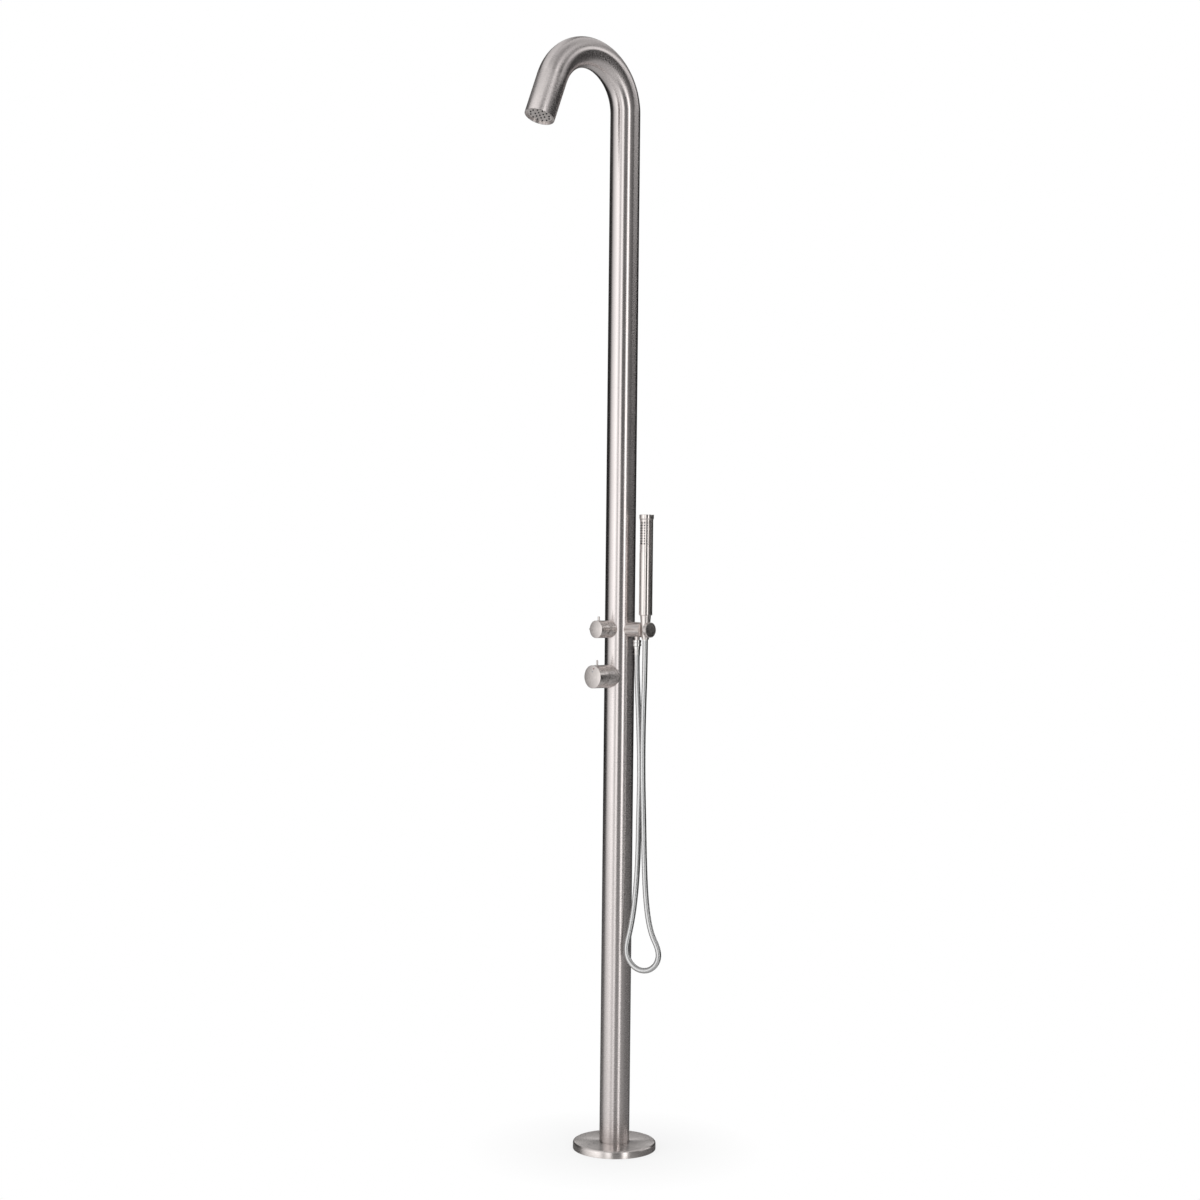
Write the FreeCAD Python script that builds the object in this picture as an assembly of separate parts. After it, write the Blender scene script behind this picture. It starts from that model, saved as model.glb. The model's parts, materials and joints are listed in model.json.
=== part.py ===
import FreeCAD, Part
import math
import os
from dataclasses import dataclass

# Outdoor shower post: a floor-standing bent tube with a mixer, a diverter, a hand shower on an arm and a
# loop of metal hose. Millimetres. The origin is on the floor, at the centre of the foot's bolt circle.
# +Z is up, the spout and both knobs point to -Y, and the hand shower's arm points to +X.

# ---- Driving dimensions -------------------------------------------------------------------------------
# Post: one tube, straight up from the floor and bent over at the top
POST_D = 60.0
POST_WALL = 2.0
BEND_START_Z = 2071.0
BEND_RADIUS = 104.0
BEND_ANGLE = 158.5
MOUTH_STRAIGHT = 86.0

# Foot: a welded floor plate under a cover that slides up the post
PLATE_D = 150.0
PLATE_T = 6.0
WELD_LEG = 3.0
BOLT_CIRCLE_D = 118.0
BOLT_HOLE_D = 9.0
BOLT_COUNT = 4
COVER_D = 166.0
COVER_H = 15.0
COVER_WALL = 1.5
COVER_EDGE = 1.0
COLLAR_WALL = 4.2
COLLAR_DEPTH = 5.4
RING_SECTION_D = 2.4

# Valves: heights of their axes, and the turned-metal boss and knob that show
MIXER_Z = 948.0
DIVERTER_Z = 1042.0
KNOB_GAP = 0.6
KNOB_EDGE = 0.7
TAIL_THREAD_D = 10.0
TAIL_THREAD_DEPTH = 7.0
TAIL_HEX = 11.0
TAIL_HEX_H = 6.0

# Arm: a bar that carries water to the hose and holds the hand shower
ARM_D = 30.0
ARM_END_X = 87.0
ARM_EDGE = 0.8
OUTLET_X = 49.5
SEAT_X = 72.0
SEAT_SLOT_W = 13.0
SEAT_EDGE = 1.0
ARM_WATERWAY_D = 7.0
FEED_D = 12.0
FEED_BORE_D = 6.0
FEED_INTO_ARM = 12.0
FEED_RING_SECTION_D = 1.8

# Hose: its diameter, and what joins it to the arm and to the hand shower
HOSE_D = 11.0
HOSE_BORE_D = 6.0
OUTLET_NECK_D = 10.0
OUTLET_NECK_H = 5.5
OUTLET_SPIGOT_D = 12.0
OUTLET_SPIGOT_H = 7.0
OUTLET_THREAD_D = 13.0
NUT_D = 16.5
NUT_H = 12.0
NUT_LIP = 1.5
NUT_FLAT_DEPTH = 0.5
TAIL_FLANGE_T = 1.0
WASHER_T = 1.5
SLEEVE_TOP_D = 12.8
SLEEVE_BOTTOM_D = 11.6
SLEEVE_H = 18.0
SLEEVE_GAP = 0.4

# Cone nut and hand shower, upright in the arm's seat
CONE_TOP_D = 21.6
CONE_BOTTOM_D = 14.0
CONE_H = 48.0
CONE_ABOVE_ARM_AXIS = 29.0
HANDSET_THREAD_D = 15.0
HANDSET_THREAD_H = 12.0
SWIVEL_FLANGE_T = 2.0
SWIVEL_STEM_D = 10.8
SWIVEL_BELOW_CONE = 2.0
HANDSET_D = 26.5
HANDSET_LENGTH = 199.0
HANDSET_FOOT_EDGE = 1.0
HANDSET_BORE_D = 8.0
CAP_D = 28.8
CAP_H = 10.0
CAP_TAPER_H = 3.0
CAP_SPIGOT_D = 19.0
CAP_SPIGOT_H = 4.0
SPRAY_TOP_BELOW_CAP = 4.0
SPRAY_H = 46.0
SPRAY_HALF_ANGLE = 70.0
SPRAY_RECESS = 1.0
SPRAY_STRIP_T = 2.6
GROOVE_COUNT = 4
GROOVE_PITCH = 3.4
GROOVE_W = 1.5
GROOVE_DEPTH = 0.8
GROOVE_BELOW_SPRAY = 3.0

# Rose in the post's mouth
ROSE_H = 42.0
ROSE_SETBACK = 1.5
ROSE_RIM_W = 2.6
ROSE_WALL = 3.0
ROSE_PLATE_SETBACK = 1.5
ROSE_PLATE_T = 1.5
ROSE_MAT_T = 2.5
ROSE_NECK_D = 18.0
ROSE_NECK_H = 16.0
ROSE_RING_SECTION_D = 2.5
ROSE_RING_FROM_FACE = 14.0
ROSE_SCREW_FROM_FACE = 26.0
ROSE_SCREW_D = 5.0
ROSE_SCREW_L = 3.0
NOZZLE_D = 3.6
NOZZLE_BORE_D = 1.2
NOZZLE_PROUD = 1.2
NOZZLE_FROM_RIM = 6.35
NOZZLE_RINGS = 2

# Water pipes inside the post
RISER_D = 12.0
RISER_WALL = 1.0
RISER_HEX = 16.0
RISER_HEX_H = 8.0
RISER_SOCKET_D = 15.0
RISER_SOCKET_H = 12.0
RISER_INSERTION = 10.0
LINK_PIPE_D = 9.0
LINK_HEX = 12.0
WATERWAY_D = 5.6
SUPPLY_HOSE_D = 10.0
SUPPLY_FERRULE_D = 11.5
SUPPLY_FERRULE_H = 14.0
SUPPLY_STRAIGHT_H = 60.0
INLET_FROM_BORE = 15.5
INLET_HEX = 24.0
INLET_NUT_H = 18.0
INLET_THREAD_R = 9.3
INLET_THREAD_H = 12.0
INLET_UNDERCUT = 0.4
INLET_LIP_BORE_D = 14.0
INLET_FLANGE_T = 2.0
INLET_TAIL_D = 13.6
COLD_INLET_Z = 30.0
HOT_INLET_Z = 52.0

# Clearances: between pieces screwed or pressed together, between pieces that turn or slide on each other,
# and between pieces that pass without touching
SEAT_CLEARANCE = 0.05
RUNNING_CLEARANCE = 0.08
FREE_CLEARANCE = 0.3

# ---- Derived places -----------------------------------------------------------------------------------
V = FreeCAD.Vector
POST_R = POST_D / 2
POST_BORE_R = POST_R - POST_WALL
INLET_X = POST_BORE_R - INLET_FROM_BORE
BEND_CENTRE = V(0, -BEND_RADIUS, BEND_START_Z)
ARM_TOP_Z = DIVERTER_Z + ARM_D / 2
ARM_BOTTOM_Z = DIVERTER_Z - ARM_D / 2
CONE_TOP_Z = DIVERTER_Z + CONE_ABOVE_ARM_AXIS
CONE_BOTTOM_Z = CONE_TOP_Z - CONE_H
CONE_SLOPE = (CONE_TOP_D - CONE_BOTTOM_D) / 2 / CONE_H
HOSE_TOP_Z = CONE_BOTTOM_Z - SWIVEL_BELOW_CONE
NUT_TOP_Z = ARM_BOTTOM_Z - OUTLET_NECK_H
NUT_BOTTOM_Z = NUT_TOP_Z - NUT_H
SLEEVE_TOP_Z = NUT_BOTTOM_Z - SLEEVE_GAP
SLEEVE_BOTTOM_Z = SLEEVE_TOP_Z - SLEEVE_H
HANDSET_TOP_Z = CONE_TOP_Z + HANDSET_LENGTH
CAP_BOTTOM_Z = HANDSET_TOP_Z - CAP_H
SPRAY_TOP_Z = CAP_BOTTOM_Z - SPRAY_TOP_BELOW_CAP
SPRAY_BOTTOM_Z = SPRAY_TOP_Z - SPRAY_H

# Route of the free hose, from the sleeve under the arm round the loop and up to the hand shower. The points
# between the two ends are chosen by hand; it hangs nearly straight but for the loop.
HOSE_ROUTE = [
    V(OUTLET_X, 0, SLEEVE_BOTTOM_Z),
    V(OUTLET_X, 0, 965),
    V(51.5, 1, 920),
    V(54.5, 2.5, 860),
    V(57.5, 4, 760),
    V(56.5, 3, 660),
    V(56.5, 2, 580),
    V(54, -2.5, 505),
    V(49, -8, 452),
    V(41.5, -14, 411.5),
    V(46, -13, 386),
    V(67, -9.5, 369),
    V(94.5, -4.5, 369),
    V(115.5, -0.5, 386),
    V(120, 0, 411.5),
    V(98.5, -4.5, 448),
    V(84.5, -3, 505),
    V(78, -2, 580),
    V(74, -1, 660),
    V(70.5, -2, 760),
    V(70, -1.5, 860),
    V(SEAT_X, 0, 965),
    V(SEAT_X, 0, HOSE_TOP_Z),
]
ARC_SHARE = 0.45


@dataclass(frozen=True)
class Valve:
    """Sizes of one valve. Distances along it are from the post's axis, out towards the knob."""

    name: str
    axis_z: float
    knob_d: float
    boss_end: float
    knob_end: float
    body_d: float
    body_back: float
    body_flat: float
    flange_d: float
    flange_t: float
    ring_t: float
    ring_setback: float
    cavity_floor: float
    cartridge_d: float
    cartridge_end: float
    cartridge_neck_d: float
    cartridge_neck_h: float
    nut_d: float
    nut_h: float
    disc_d: float
    disc_t: float
    seal_t: float
    drive_t: float
    spindle_d: float
    spindle_into_knob: float
    port_circle_r: float
    port_d: float
    port_angles: tuple
    pocket_from: float
    pocket_to: float
    turn: float
    knob_recess: float
    pin_d: float
    pin_proud: float
    pin_depth: float
    pin_from_face: float
    pin_angles: tuple
    screw_d: float
    screw_l: float

    @property
    def knob_start(self):
        return self.boss_end + KNOB_GAP

    @property
    def ring_start(self):
        return self.boss_end - self.ring_setback - self.ring_t

    @property
    def flange_start(self):
        return self.ring_start - self.flange_t

    @property
    def spindle_end(self):
        return self.knob_start + self.spindle_into_knob

    @property
    def drive_start(self):
        return self.cavity_floor + self.seal_t + 2 * self.disc_t

    @property
    def drive_end(self):
        return self.drive_start + self.drive_t


MIXER = Valve(
    name="mixer",
    axis_z=MIXER_Z,
    knob_d=46.0,
    boss_end=50.0,
    knob_end=75.0,
    body_d=38.0,
    body_back=8.0,
    body_flat=16.5,
    flange_d=41.2,
    flange_t=4.0,
    ring_t=3.0,
    ring_setback=2.0,
    cavity_floor=14.0,
    cartridge_d=28.0,
    cartridge_end=38.0,
    cartridge_neck_d=17.0,
    cartridge_neck_h=8.0,
    nut_d=32.0,
    nut_h=6.0,
    disc_d=22.6,
    disc_t=4.0,
    seal_t=1.5,
    drive_t=5.0,
    spindle_d=8.0,
    spindle_into_knob=16.5,
    port_circle_r=7.2,
    port_d=5.6,
    port_angles=(205.0, 335.0),
    pocket_from=58.0,
    pocket_to=178.0,
    turn=180.0,
    knob_recess=7.0,
    pin_d=3.8,
    pin_proud=10.0,
    pin_depth=7.0,
    pin_from_face=13.0,
    pin_angles=(90.0,),
    screw_d=5.0,
    screw_l=8.0,
)

DIVERTER = Valve(
    name="diverter",
    axis_z=DIVERTER_Z,
    knob_d=35.0,
    boss_end=44.4,
    knob_end=67.0,
    body_d=27.6,
    body_back=7.5,
    body_flat=12.0,
    flange_d=30.4,
    flange_t=3.5,
    ring_t=3.0,
    ring_setback=2.0,
    cavity_floor=11.0,
    cartridge_d=20.0,
    cartridge_end=29.0,
    cartridge_neck_d=13.0,
    cartridge_neck_h=7.0,
    nut_d=23.2,
    nut_h=5.0,
    disc_d=16.4,
    disc_t=3.0,
    seal_t=1.2,
    drive_t=4.0,
    spindle_d=7.0,
    spindle_into_knob=15.0,
    port_circle_r=5.2,
    port_d=4.4,
    port_angles=(90.0, 0.0),
    pocket_from=60.0,
    pocket_to=120.0,
    turn=90.0,
    knob_recess=5.0,
    pin_d=4.2,
    pin_proud=8.0,
    pin_depth=6.0,
    pin_from_face=8.0,
    pin_angles=(90.0, 180.0),
    screw_d=4.0,
    screw_l=6.0,
)


# ---- Shapes used again and again ----------------------------------------------------------------------
def rod(radius, start, end, x=0.0, y=0.0):
    """A cylinder along Z from start to end."""
    return Part.makeCylinder(radius, end - start, V(x, y, start))


def sleeve(outer_r, inner_r, start, end):
    """A round tube along Z from start to end."""
    return rod(outer_r, start, end).cut(rod(inner_r, start - 1, end + 1))


def turned(*outline):
    """A solid turned about Z from (radius, height) points, listed once round its section."""
    points = [V(r, 0, z) for r, z in outline]
    section = Part.Face(Part.makePolygon(points + points[:1]))
    return section.revolve(V(0, 0, 0), V(0, 0, 1), 360)


def hexagon(across_flats, start, end, x=0.0):
    """A hexagonal prism along Z with two flats facing +X and -X."""
    corner_r = across_flats / math.sqrt(3)
    angles = [math.radians(60 * i + 30) for i in range(6)]
    corners = [V(x + corner_r * math.cos(a), corner_r * math.sin(a), start) for a in angles]
    return Part.Face(Part.makePolygon(corners + corners[:1])).extrude(V(0, 0, end - start))


def sector(outer_r, inner_r, from_angle, to_angle, start, end):
    """Part of a round tube along Z, between two angles from +X."""
    corners = [V(inner_r, 0, start), V(outer_r, 0, start), V(outer_r, 0, end), V(inner_r, 0, end)]
    section = Part.Face(Part.makePolygon(corners + corners[:1]))
    section.rotate(V(0, 0, 0), V(0, 0, 1), from_angle)
    return section.revolve(V(0, 0, 0), V(0, 0, 1), to_angle - from_angle)


def ring_cord(centre_r, section_d, z):
    """A rubber ring about Z, its section drawn with eight sides."""
    corners = [math.radians(45 * i + 22.5) for i in range(8)]
    r = section_d / 2
    return turned(*[(centre_r + r * math.cos(a), z + r * math.sin(a)) for a in corners])


def on_circle(radius, angle):
    """The x and y of a place on a circle about Z."""
    return radius * math.cos(math.radians(angle)), radius * math.sin(math.radians(angle))


def placed(shape, origin, axis=V(0, 0, 1), angle=0.0):
    """A copy of a shape, turned about an axis through the origin and moved."""
    shape = shape.copy()
    shape.Placement = FreeCAD.Placement(origin, FreeCAD.Rotation(axis, angle)).multiply(shape.Placement)
    return shape


def facing_front(shape, z):
    """Turns a shape's +Z to the front, -Y, and its +Y upwards, at a height on the post's axis."""
    return placed(shape, V(0, 0, z), V(1, 0, 0), 90)


def facing_right(shape, z):
    """Turns a shape's +Z to +X, at a height on the post's axis."""
    return placed(shape, V(0, 0, z), V(0, 1, 0), 90)


def in_mouth(shape):
    """Puts a shape in the post's mouth: its +Z is the way the water leaves, from the rim's centre."""
    turn = FreeCAD.Rotation(V(1, 0, 0), BEND_ANGLE)
    end_of_bend = BEND_CENTRE + turn.multVec(V(0, BEND_RADIUS, 0))
    rim = end_of_bend + turn.multVec(V(0, 0, MOUTH_STRAIGHT))
    return placed(shape, rim, V(1, 0, 0), BEND_ANGLE)


def at_arm(shape, x):
    """Moves an upright shape to a place along the arm."""
    return placed(shape, V(x, 0, 0))


def post_shaped(radius, bottom, mouth_setback=0.0):
    """A solid rod that follows the post's centreline from a height up to near the mouth."""
    disc = Part.Face(Part.Wire(Part.makeCircle(radius, V(0, 0, BEND_START_Z))))
    upright = rod(radius, bottom, BEND_START_Z)
    bend = disc.revolve(BEND_CENTRE, V(1, 0, 0), BEND_ANGLE)
    end = in_mouth(rod(radius, -MOUTH_STRAIGHT, -mouth_setback))
    return upright.fuse([bend, end]).removeSplitter()


# ---- Foot ---------------------------------------------------------------------------------------------
def floor_plate():
    """The round plate that the post is welded to, with its bolt holes and the weld round the post."""
    hole_r = POST_R + SEAT_CLEARANCE
    plate = turned(
        (hole_r, 0),
        (PLATE_D / 2, 0),
        (PLATE_D / 2, PLATE_T),
        (hole_r + WELD_LEG, PLATE_T),
        (hole_r, PLATE_T + WELD_LEG),
    )
    for i in range(BOLT_COUNT):
        x, y = on_circle(BOLT_CIRCLE_D / 2, (i + 0.5) * 360 / BOLT_COUNT)
        plate = plate.cut(rod(BOLT_HOLE_D / 2, -1, PLATE_T + 1, x, y))
    return plate


def cover_ring_place():
    """Centre radius and height of the rubber ring between the cover and the post."""
    return POST_R + SEAT_CLEARANCE + RING_SECTION_D / 2, COVER_H - COLLAR_DEPTH / 2


def foot_cover():
    """The cover: a shallow pan with a grooved collar round the post, just off the floor."""
    hole_r = POST_R + FREE_CLEARANCE
    collar_r = hole_r + COLLAR_WALL
    inside_r = COVER_D / 2 - COVER_WALL
    roof = COVER_H - COVER_WALL
    pan = turned(
        (hole_r, COVER_H),
        (COVER_D / 2 - COVER_EDGE, COVER_H),
        (COVER_D / 2, COVER_H - COVER_EDGE),
        (COVER_D / 2, FREE_CLEARANCE),
        (inside_r, FREE_CLEARANCE),
        (inside_r, roof),
        (collar_r, roof),
        (collar_r, COVER_H - COLLAR_DEPTH),
        (hole_r, COVER_H - COLLAR_DEPTH),
    )
    ring_r, ring_z = cover_ring_place()
    half_groove = RING_SECTION_D / 2 + SEAT_CLEARANCE
    return pan.cut(sleeve(ring_r + half_groove, hole_r - 1, ring_z - half_groove, ring_z + half_groove))


# ---- Post ---------------------------------------------------------------------------------------------
def boss_bore_r(valve):
    return valve.body_d / 2 + SEAT_CLEARANCE


def post_tube():
    """The bent tube, with holes for the two valves and the arm's feed, and a screw hole near the mouth."""
    tube = post_shaped(POST_R, 0).cut(post_shaped(POST_BORE_R, -1, -1))
    for valve in (MIXER, DIVERTER):
        tube = tube.cut(facing_front(rod(boss_bore_r(valve), 0, POST_D), valve.axis_z))
    tube = tube.cut(facing_right(rod(FEED_D / 2 + FREE_CLEARANCE, 0, POST_D), DIVERTER_Z))
    return tube.cut(rose_screw_space(ROSE_SCREW_D / 2 + SEAT_CLEARANCE))


# ---- Valves, each drawn with its knob towards +Z ------------------------------------------------------
def boss(valve):
    """The turned sleeve welded to the post, with a step that the valve body's flange sits on."""
    outer_r = valve.knob_d / 2
    blank = sleeve(outer_r, boss_bore_r(valve), 0, valve.boss_end)
    blank = blank.cut(rod(valve.flange_d / 2 + SEAT_CLEARANCE, valve.flange_start, valve.boss_end + 1))
    saddle = rod(POST_R + SEAT_CLEARANCE, valve.axis_z - POST_D, valve.axis_z + POST_D)
    return facing_front(blank, valve.axis_z).cut(saddle)


def port_places(valve):
    """Where the water passes through the valve body's floor: the centre, then round it."""
    return [(0.0, 0.0)] + [on_circle(valve.port_circle_r, a) for a in valve.port_angles]


def valve_body(valve):
    """The casting that fills the boss: its flange, the cartridge's cavity and the ports behind it."""
    body = rod(valve.body_d / 2, -valve.body_back, valve.ring_start)
    body = body.fuse(rod(valve.flange_d / 2, valve.flange_start, valve.ring_start))
    for side in (-1, 1):
        slab = Part.makeBox(valve.body_d, valve.body_d, valve.flange_start - 1 + valve.body_back)
        slab.translate(V(-valve.body_d / 2, side * valve.body_flat, -valve.body_back))
        if side < 0:
            slab.translate(V(0, -valve.body_d, 0))
        body = body.cut(slab)
    cartridge_r = valve.cartridge_d / 2 + SEAT_CLEARANCE
    body = body.cut(rod(cartridge_r, valve.cavity_floor, valve.ring_start + 1))
    body = body.cut(rod(valve.nut_d / 2 + SEAT_CLEARANCE, valve.cartridge_end, valve.ring_start + 1))
    for x, y in port_places(valve):
        body = body.cut(rod(valve.port_d / 2, 0, valve.cavity_floor + 1, x, y))
    return body.removeSplitter()


def drilled_up_or_down(body, valve, x, port_y, way):
    """Drills a waterway and a threaded pocket into a placed valve body, from below (-1) or above (+1)."""
    flat_z = valve.axis_z + way * valve.body_flat
    port_z = valve.axis_z + port_y
    reach = sorted((port_z, flat_z + way))
    pocket = sorted((flat_z + way, flat_z - way * (TAIL_THREAD_DEPTH + 1)))
    body = body.cut(rod(valve.port_d / 2, reach[0], reach[1], x))
    return body.cut(rod(TAIL_THREAD_D / 2 + SEAT_CLEARANCE, pocket[0], pocket[1], x))


def mixer_body():
    """Two supplies come in from below, and the mixed water leaves at the top."""
    body = facing_front(valve_body(MIXER), MIXER.axis_z)
    for x, y in port_places(MIXER)[1:]:
        body = drilled_up_or_down(body, MIXER, x, y, -1)
    return drilled_up_or_down(body, MIXER, 0, 0, 1)


def diverter_body():
    """Water comes in from below and leaves at the top for the rose, or at the side for the arm."""
    body = facing_front(valve_body(DIVERTER), DIVERTER.axis_z)
    centre, up, right = port_places(DIVERTER)
    body = drilled_up_or_down(body, DIVERTER, 0, centre[1], -1)
    body = drilled_up_or_down(body, DIVERTER, 0, up[1], 1)
    side_way = rod(DIVERTER.port_d / 2, right[0], DIVERTER.body_d)
    side_pocket = rod(FEED_D / 2 + SEAT_CLEARANCE, feed_start_x(), DIVERTER.body_d)
    return body.cut(facing_right(side_way.fuse(side_pocket), DIVERTER_Z))


def body_ring(valve):
    """The threaded ring that clamps the valve body into its boss."""
    outer_r = valve.flange_d / 2
    inner_r = valve.nut_d / 2 + 1
    ring = sleeve(outer_r, inner_r, valve.ring_start, valve.ring_start + valve.ring_t)
    return cut_spanner_slots(ring, outer_r, valve.ring_start + valve.ring_t)


def cut_spanner_slots(ring, outer_r, top):
    """Cuts a slot for a pin spanner across a ring's outer face."""
    width = 3.0
    depth = 1.5
    slot = Part.makeBox(2 * outer_r + 2, width, depth + 1, V(-outer_r - 1, -width / 2, top - depth))
    return ring.cut(slot)


def cartridge_nut(valve):
    """The nut that holds the cartridge down in the body."""
    top = valve.cartridge_end + valve.nut_h
    inner_r = valve.cartridge_neck_d / 2 + SEAT_CLEARANCE
    nut = sleeve(valve.nut_d / 2, inner_r, valve.cartridge_end, top)
    return cut_spanner_slots(nut, valve.nut_d / 2, top)


def disc_space_r(valve):
    return valve.disc_d / 2 + RUNNING_CLEARANCE


def stop_hub_r(valve):
    """Radius of the driver inside the shell's stop rib."""
    return valve.disc_d / 2 - 2.0


STOP_LUG_ANGLE = 30.0
STOP_LUG_FROM = 75.0
STOP_MARGIN = 2.0


def cartridge_shell(valve):
    """The cartridge's housing: open below for the discs, with a rib that stops the driver's lug."""
    top = valve.cartridge_end
    neck_end = top + valve.cartridge_neck_h
    shell = rod(valve.cartridge_d / 2, valve.cavity_floor, top)
    shell = shell.fuse(rod(valve.cartridge_neck_d / 2, top, neck_end))
    shell = shell.cut(rod(valve.spindle_d / 2 + RUNNING_CLEARANCE, valve.cavity_floor - 1, neck_end + 1))
    shell = shell.cut(rod(disc_space_r(valve), valve.cavity_floor - 1, valve.drive_end + RUNNING_CLEARANCE))
    way = -1 if valve is DIVERTER else 1
    free = sorted((0, way * valve.turn))
    rib_from = STOP_LUG_FROM + STOP_LUG_ANGLE + free[1] + STOP_MARGIN
    rib_to = STOP_LUG_FROM + free[0] - STOP_MARGIN + 360
    rib = sector(
        disc_space_r(valve) + 0.5,
        stop_hub_r(valve) + FREE_CLEARANCE,
        rib_from,
        rib_to,
        valve.drive_start + FREE_CLEARANCE,
        valve.drive_end + RUNNING_CLEARANCE,
    )
    return shell.fuse(rib).removeSplitter()


def base_seal(valve):
    """The rubber gasket under the fixed disc, with a hole at each port."""
    start = valve.cavity_floor
    seal = rod(disc_space_r(valve) - RUNNING_CLEARANCE, start, start + valve.seal_t)
    for x, y in port_places(valve):
        seal = seal.cut(rod(valve.port_d / 2, start - 1, start + valve.seal_t + 1, x, y))
    return seal


def fixed_disc(valve):
    """The ceramic disc with a hole over each port."""
    start = valve.cavity_floor + valve.seal_t
    disc = rod(valve.disc_d / 2, start, start + valve.disc_t)
    for x, y in port_places(valve):
        disc = disc.cut(rod(valve.port_d / 2, start - 1, start + valve.disc_t + 1, x, y))
    return disc


DRIVE_TAB_W = 3.0
DRIVE_TAB_H = 1.2


def drive_tab(valve, width, height, start):
    """The bar across the driver that turns the disc, or with more width the groove that it sits in."""
    length = valve.disc_d - 6
    return Part.makeBox(length, width, height, V(-length / 2, -width / 2, start))


def turning_disc(valve):
    """The ceramic disc whose hollow underside joins the ports it covers."""
    start = valve.cavity_floor + valve.seal_t + valve.disc_t
    depth = valve.disc_t / 2
    disc = rod(valve.disc_d / 2, start, start + valve.disc_t)
    pocket_r = valve.port_circle_r + valve.port_d / 2
    hollow = sector(pocket_r, 0, valve.pocket_from, valve.pocket_to, start - 1, start + depth)
    hollow = hollow.fuse(rod(valve.port_d / 2, start - 1, start + depth))
    groove = drive_tab(valve, DRIVE_TAB_W + 2 * SEAT_CLEARANCE, DRIVE_TAB_H, valve.drive_start - DRIVE_TAB_H)
    return disc.cut(hollow).cut(groove)


def spindle(valve):
    """The driver and its stem: a tab below, a stop lug at the side and two flats for the knob."""
    hub = rod(stop_hub_r(valve), valve.drive_start, valve.drive_end)
    lug = sector(
        valve.disc_d / 2 - RUNNING_CLEARANCE,
        stop_hub_r(valve) - 1,
        STOP_LUG_FROM,
        STOP_LUG_FROM + STOP_LUG_ANGLE,
        valve.drive_start + FREE_CLEARANCE,
        valve.drive_end,
    )
    tab_start = valve.drive_start - DRIVE_TAB_H + SEAT_CLEARANCE
    tab = drive_tab(valve, DRIVE_TAB_W, valve.drive_start - tab_start, tab_start)
    stem = rod(valve.spindle_d / 2, valve.drive_end, valve.spindle_end)
    shape = hub.fuse([lug, tab, stem]).removeSplitter()
    return cut_flats(shape, valve, 0.0)


def cut_flats(shape, valve, extra):
    """Cuts the stem's two flats, from the knob's back outwards. Extra sets them further out, for the bore."""
    flat_x = valve.spindle_d / 2 - 1.0 + extra
    length = valve.spindle_end - valve.knob_start + 1
    for side in (0, 1):
        block = Part.makeBox(valve.spindle_d, 2 * valve.spindle_d, length)
        block.translate(V(flat_x, -valve.spindle_d, valve.knob_start))
        block.rotate(V(0, 0, 0), V(0, 0, 1), 180 * side)
        shape = shape.cut(block)
    return shape


def radial(shape, valve, angle, along):
    """Lays a shape drawn up +Z out along a knob's radius at an angle."""
    shape = placed(shape, V(0, 0, 0), V(0, 1, 0), 90)
    return placed(shape, V(0, 0, along), V(0, 0, 1), angle)


def knob(valve):
    """The turned knob: hollow behind, bored for the stem, with holes for its pins and its grub screw."""
    outer_r = valve.knob_d / 2
    hub_r = valve.spindle_d / 2 + 3
    blank = turned(
        (0, valve.knob_start),
        (outer_r, valve.knob_start),
        (outer_r, valve.knob_end - KNOB_EDGE),
        (outer_r - KNOB_EDGE, valve.knob_end),
        (0, valve.knob_end),
    )
    hollow = sleeve(outer_r - 3, hub_r, valve.knob_start - 1, valve.knob_start + valve.knob_recess)
    bore = rod(valve.spindle_d / 2 + SEAT_CLEARANCE, valve.knob_start - 1, valve.spindle_end + 0.5)
    blank = blank.cut(hollow).cut(cut_flats(bore, valve, SEAT_CLEARANCE))
    for angle in valve.pin_angles:
        hole = rod(valve.pin_d / 2 + SEAT_CLEARANCE, outer_r - valve.pin_depth, outer_r + 1)
        blank = blank.cut(radial(hole, valve, angle, valve.knob_end - valve.pin_from_face))
    screw_hole = rod(valve.screw_d / 2 + SEAT_CLEARANCE, 0, outer_r + 1)
    return blank.cut(radial(screw_hole, valve, -90, screw_along(valve)))


def screw_along(valve):
    """Where the knob's grub screw bears on the stem."""
    return valve.spindle_end - valve.screw_d / 2 - 1


def knob_pins(valve):
    """The slim pins that the knob is turned by, each with a rounded tip."""
    outer_r = valve.knob_d / 2
    r = valve.pin_d / 2
    tip = outer_r + valve.pin_proud
    start = outer_r - valve.pin_depth + SEAT_CLEARANCE
    pin = turned((0, start), (r, start), (r, tip - r / 2), (r / 2, tip), (0, tip))
    along = valve.knob_end - valve.pin_from_face
    return Part.makeCompound([radial(pin, valve, angle, along) for angle in valve.pin_angles])


def knob_screw(valve):
    """The grub screw that holds the knob on its stem, with a hex socket."""
    start = valve.spindle_d / 2 + SEAT_CLEARANCE
    end = start + valve.screw_l
    screw = rod(valve.screw_d / 2, start, end).cut(hexagon(valve.screw_d / 2, end - 2.5, end + 1))
    return radial(screw, valve, -90, screw_along(valve))


def valve_parts(valve):
    """Every piece of a valve but its body, in the post's frame, by node name."""
    drawn = {
        "body_ring": body_ring(valve),
        "cartridge_shell": cartridge_shell(valve),
        "cartridge_nut": cartridge_nut(valve),
        "base_seal": base_seal(valve),
        "fixed_disc": fixed_disc(valve),
        "turning_disc": turning_disc(valve),
        "spindle": spindle(valve),
        "knob": knob(valve),
        "knob_pin": knob_pins(valve),
        "knob_screw": knob_screw(valve),
    }
    parts = {f"{valve.name}_{name}": facing_front(shape, valve.axis_z) for name, shape in drawn.items()}
    parts[f"{valve.name}_boss"] = boss(valve)
    return parts


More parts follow.
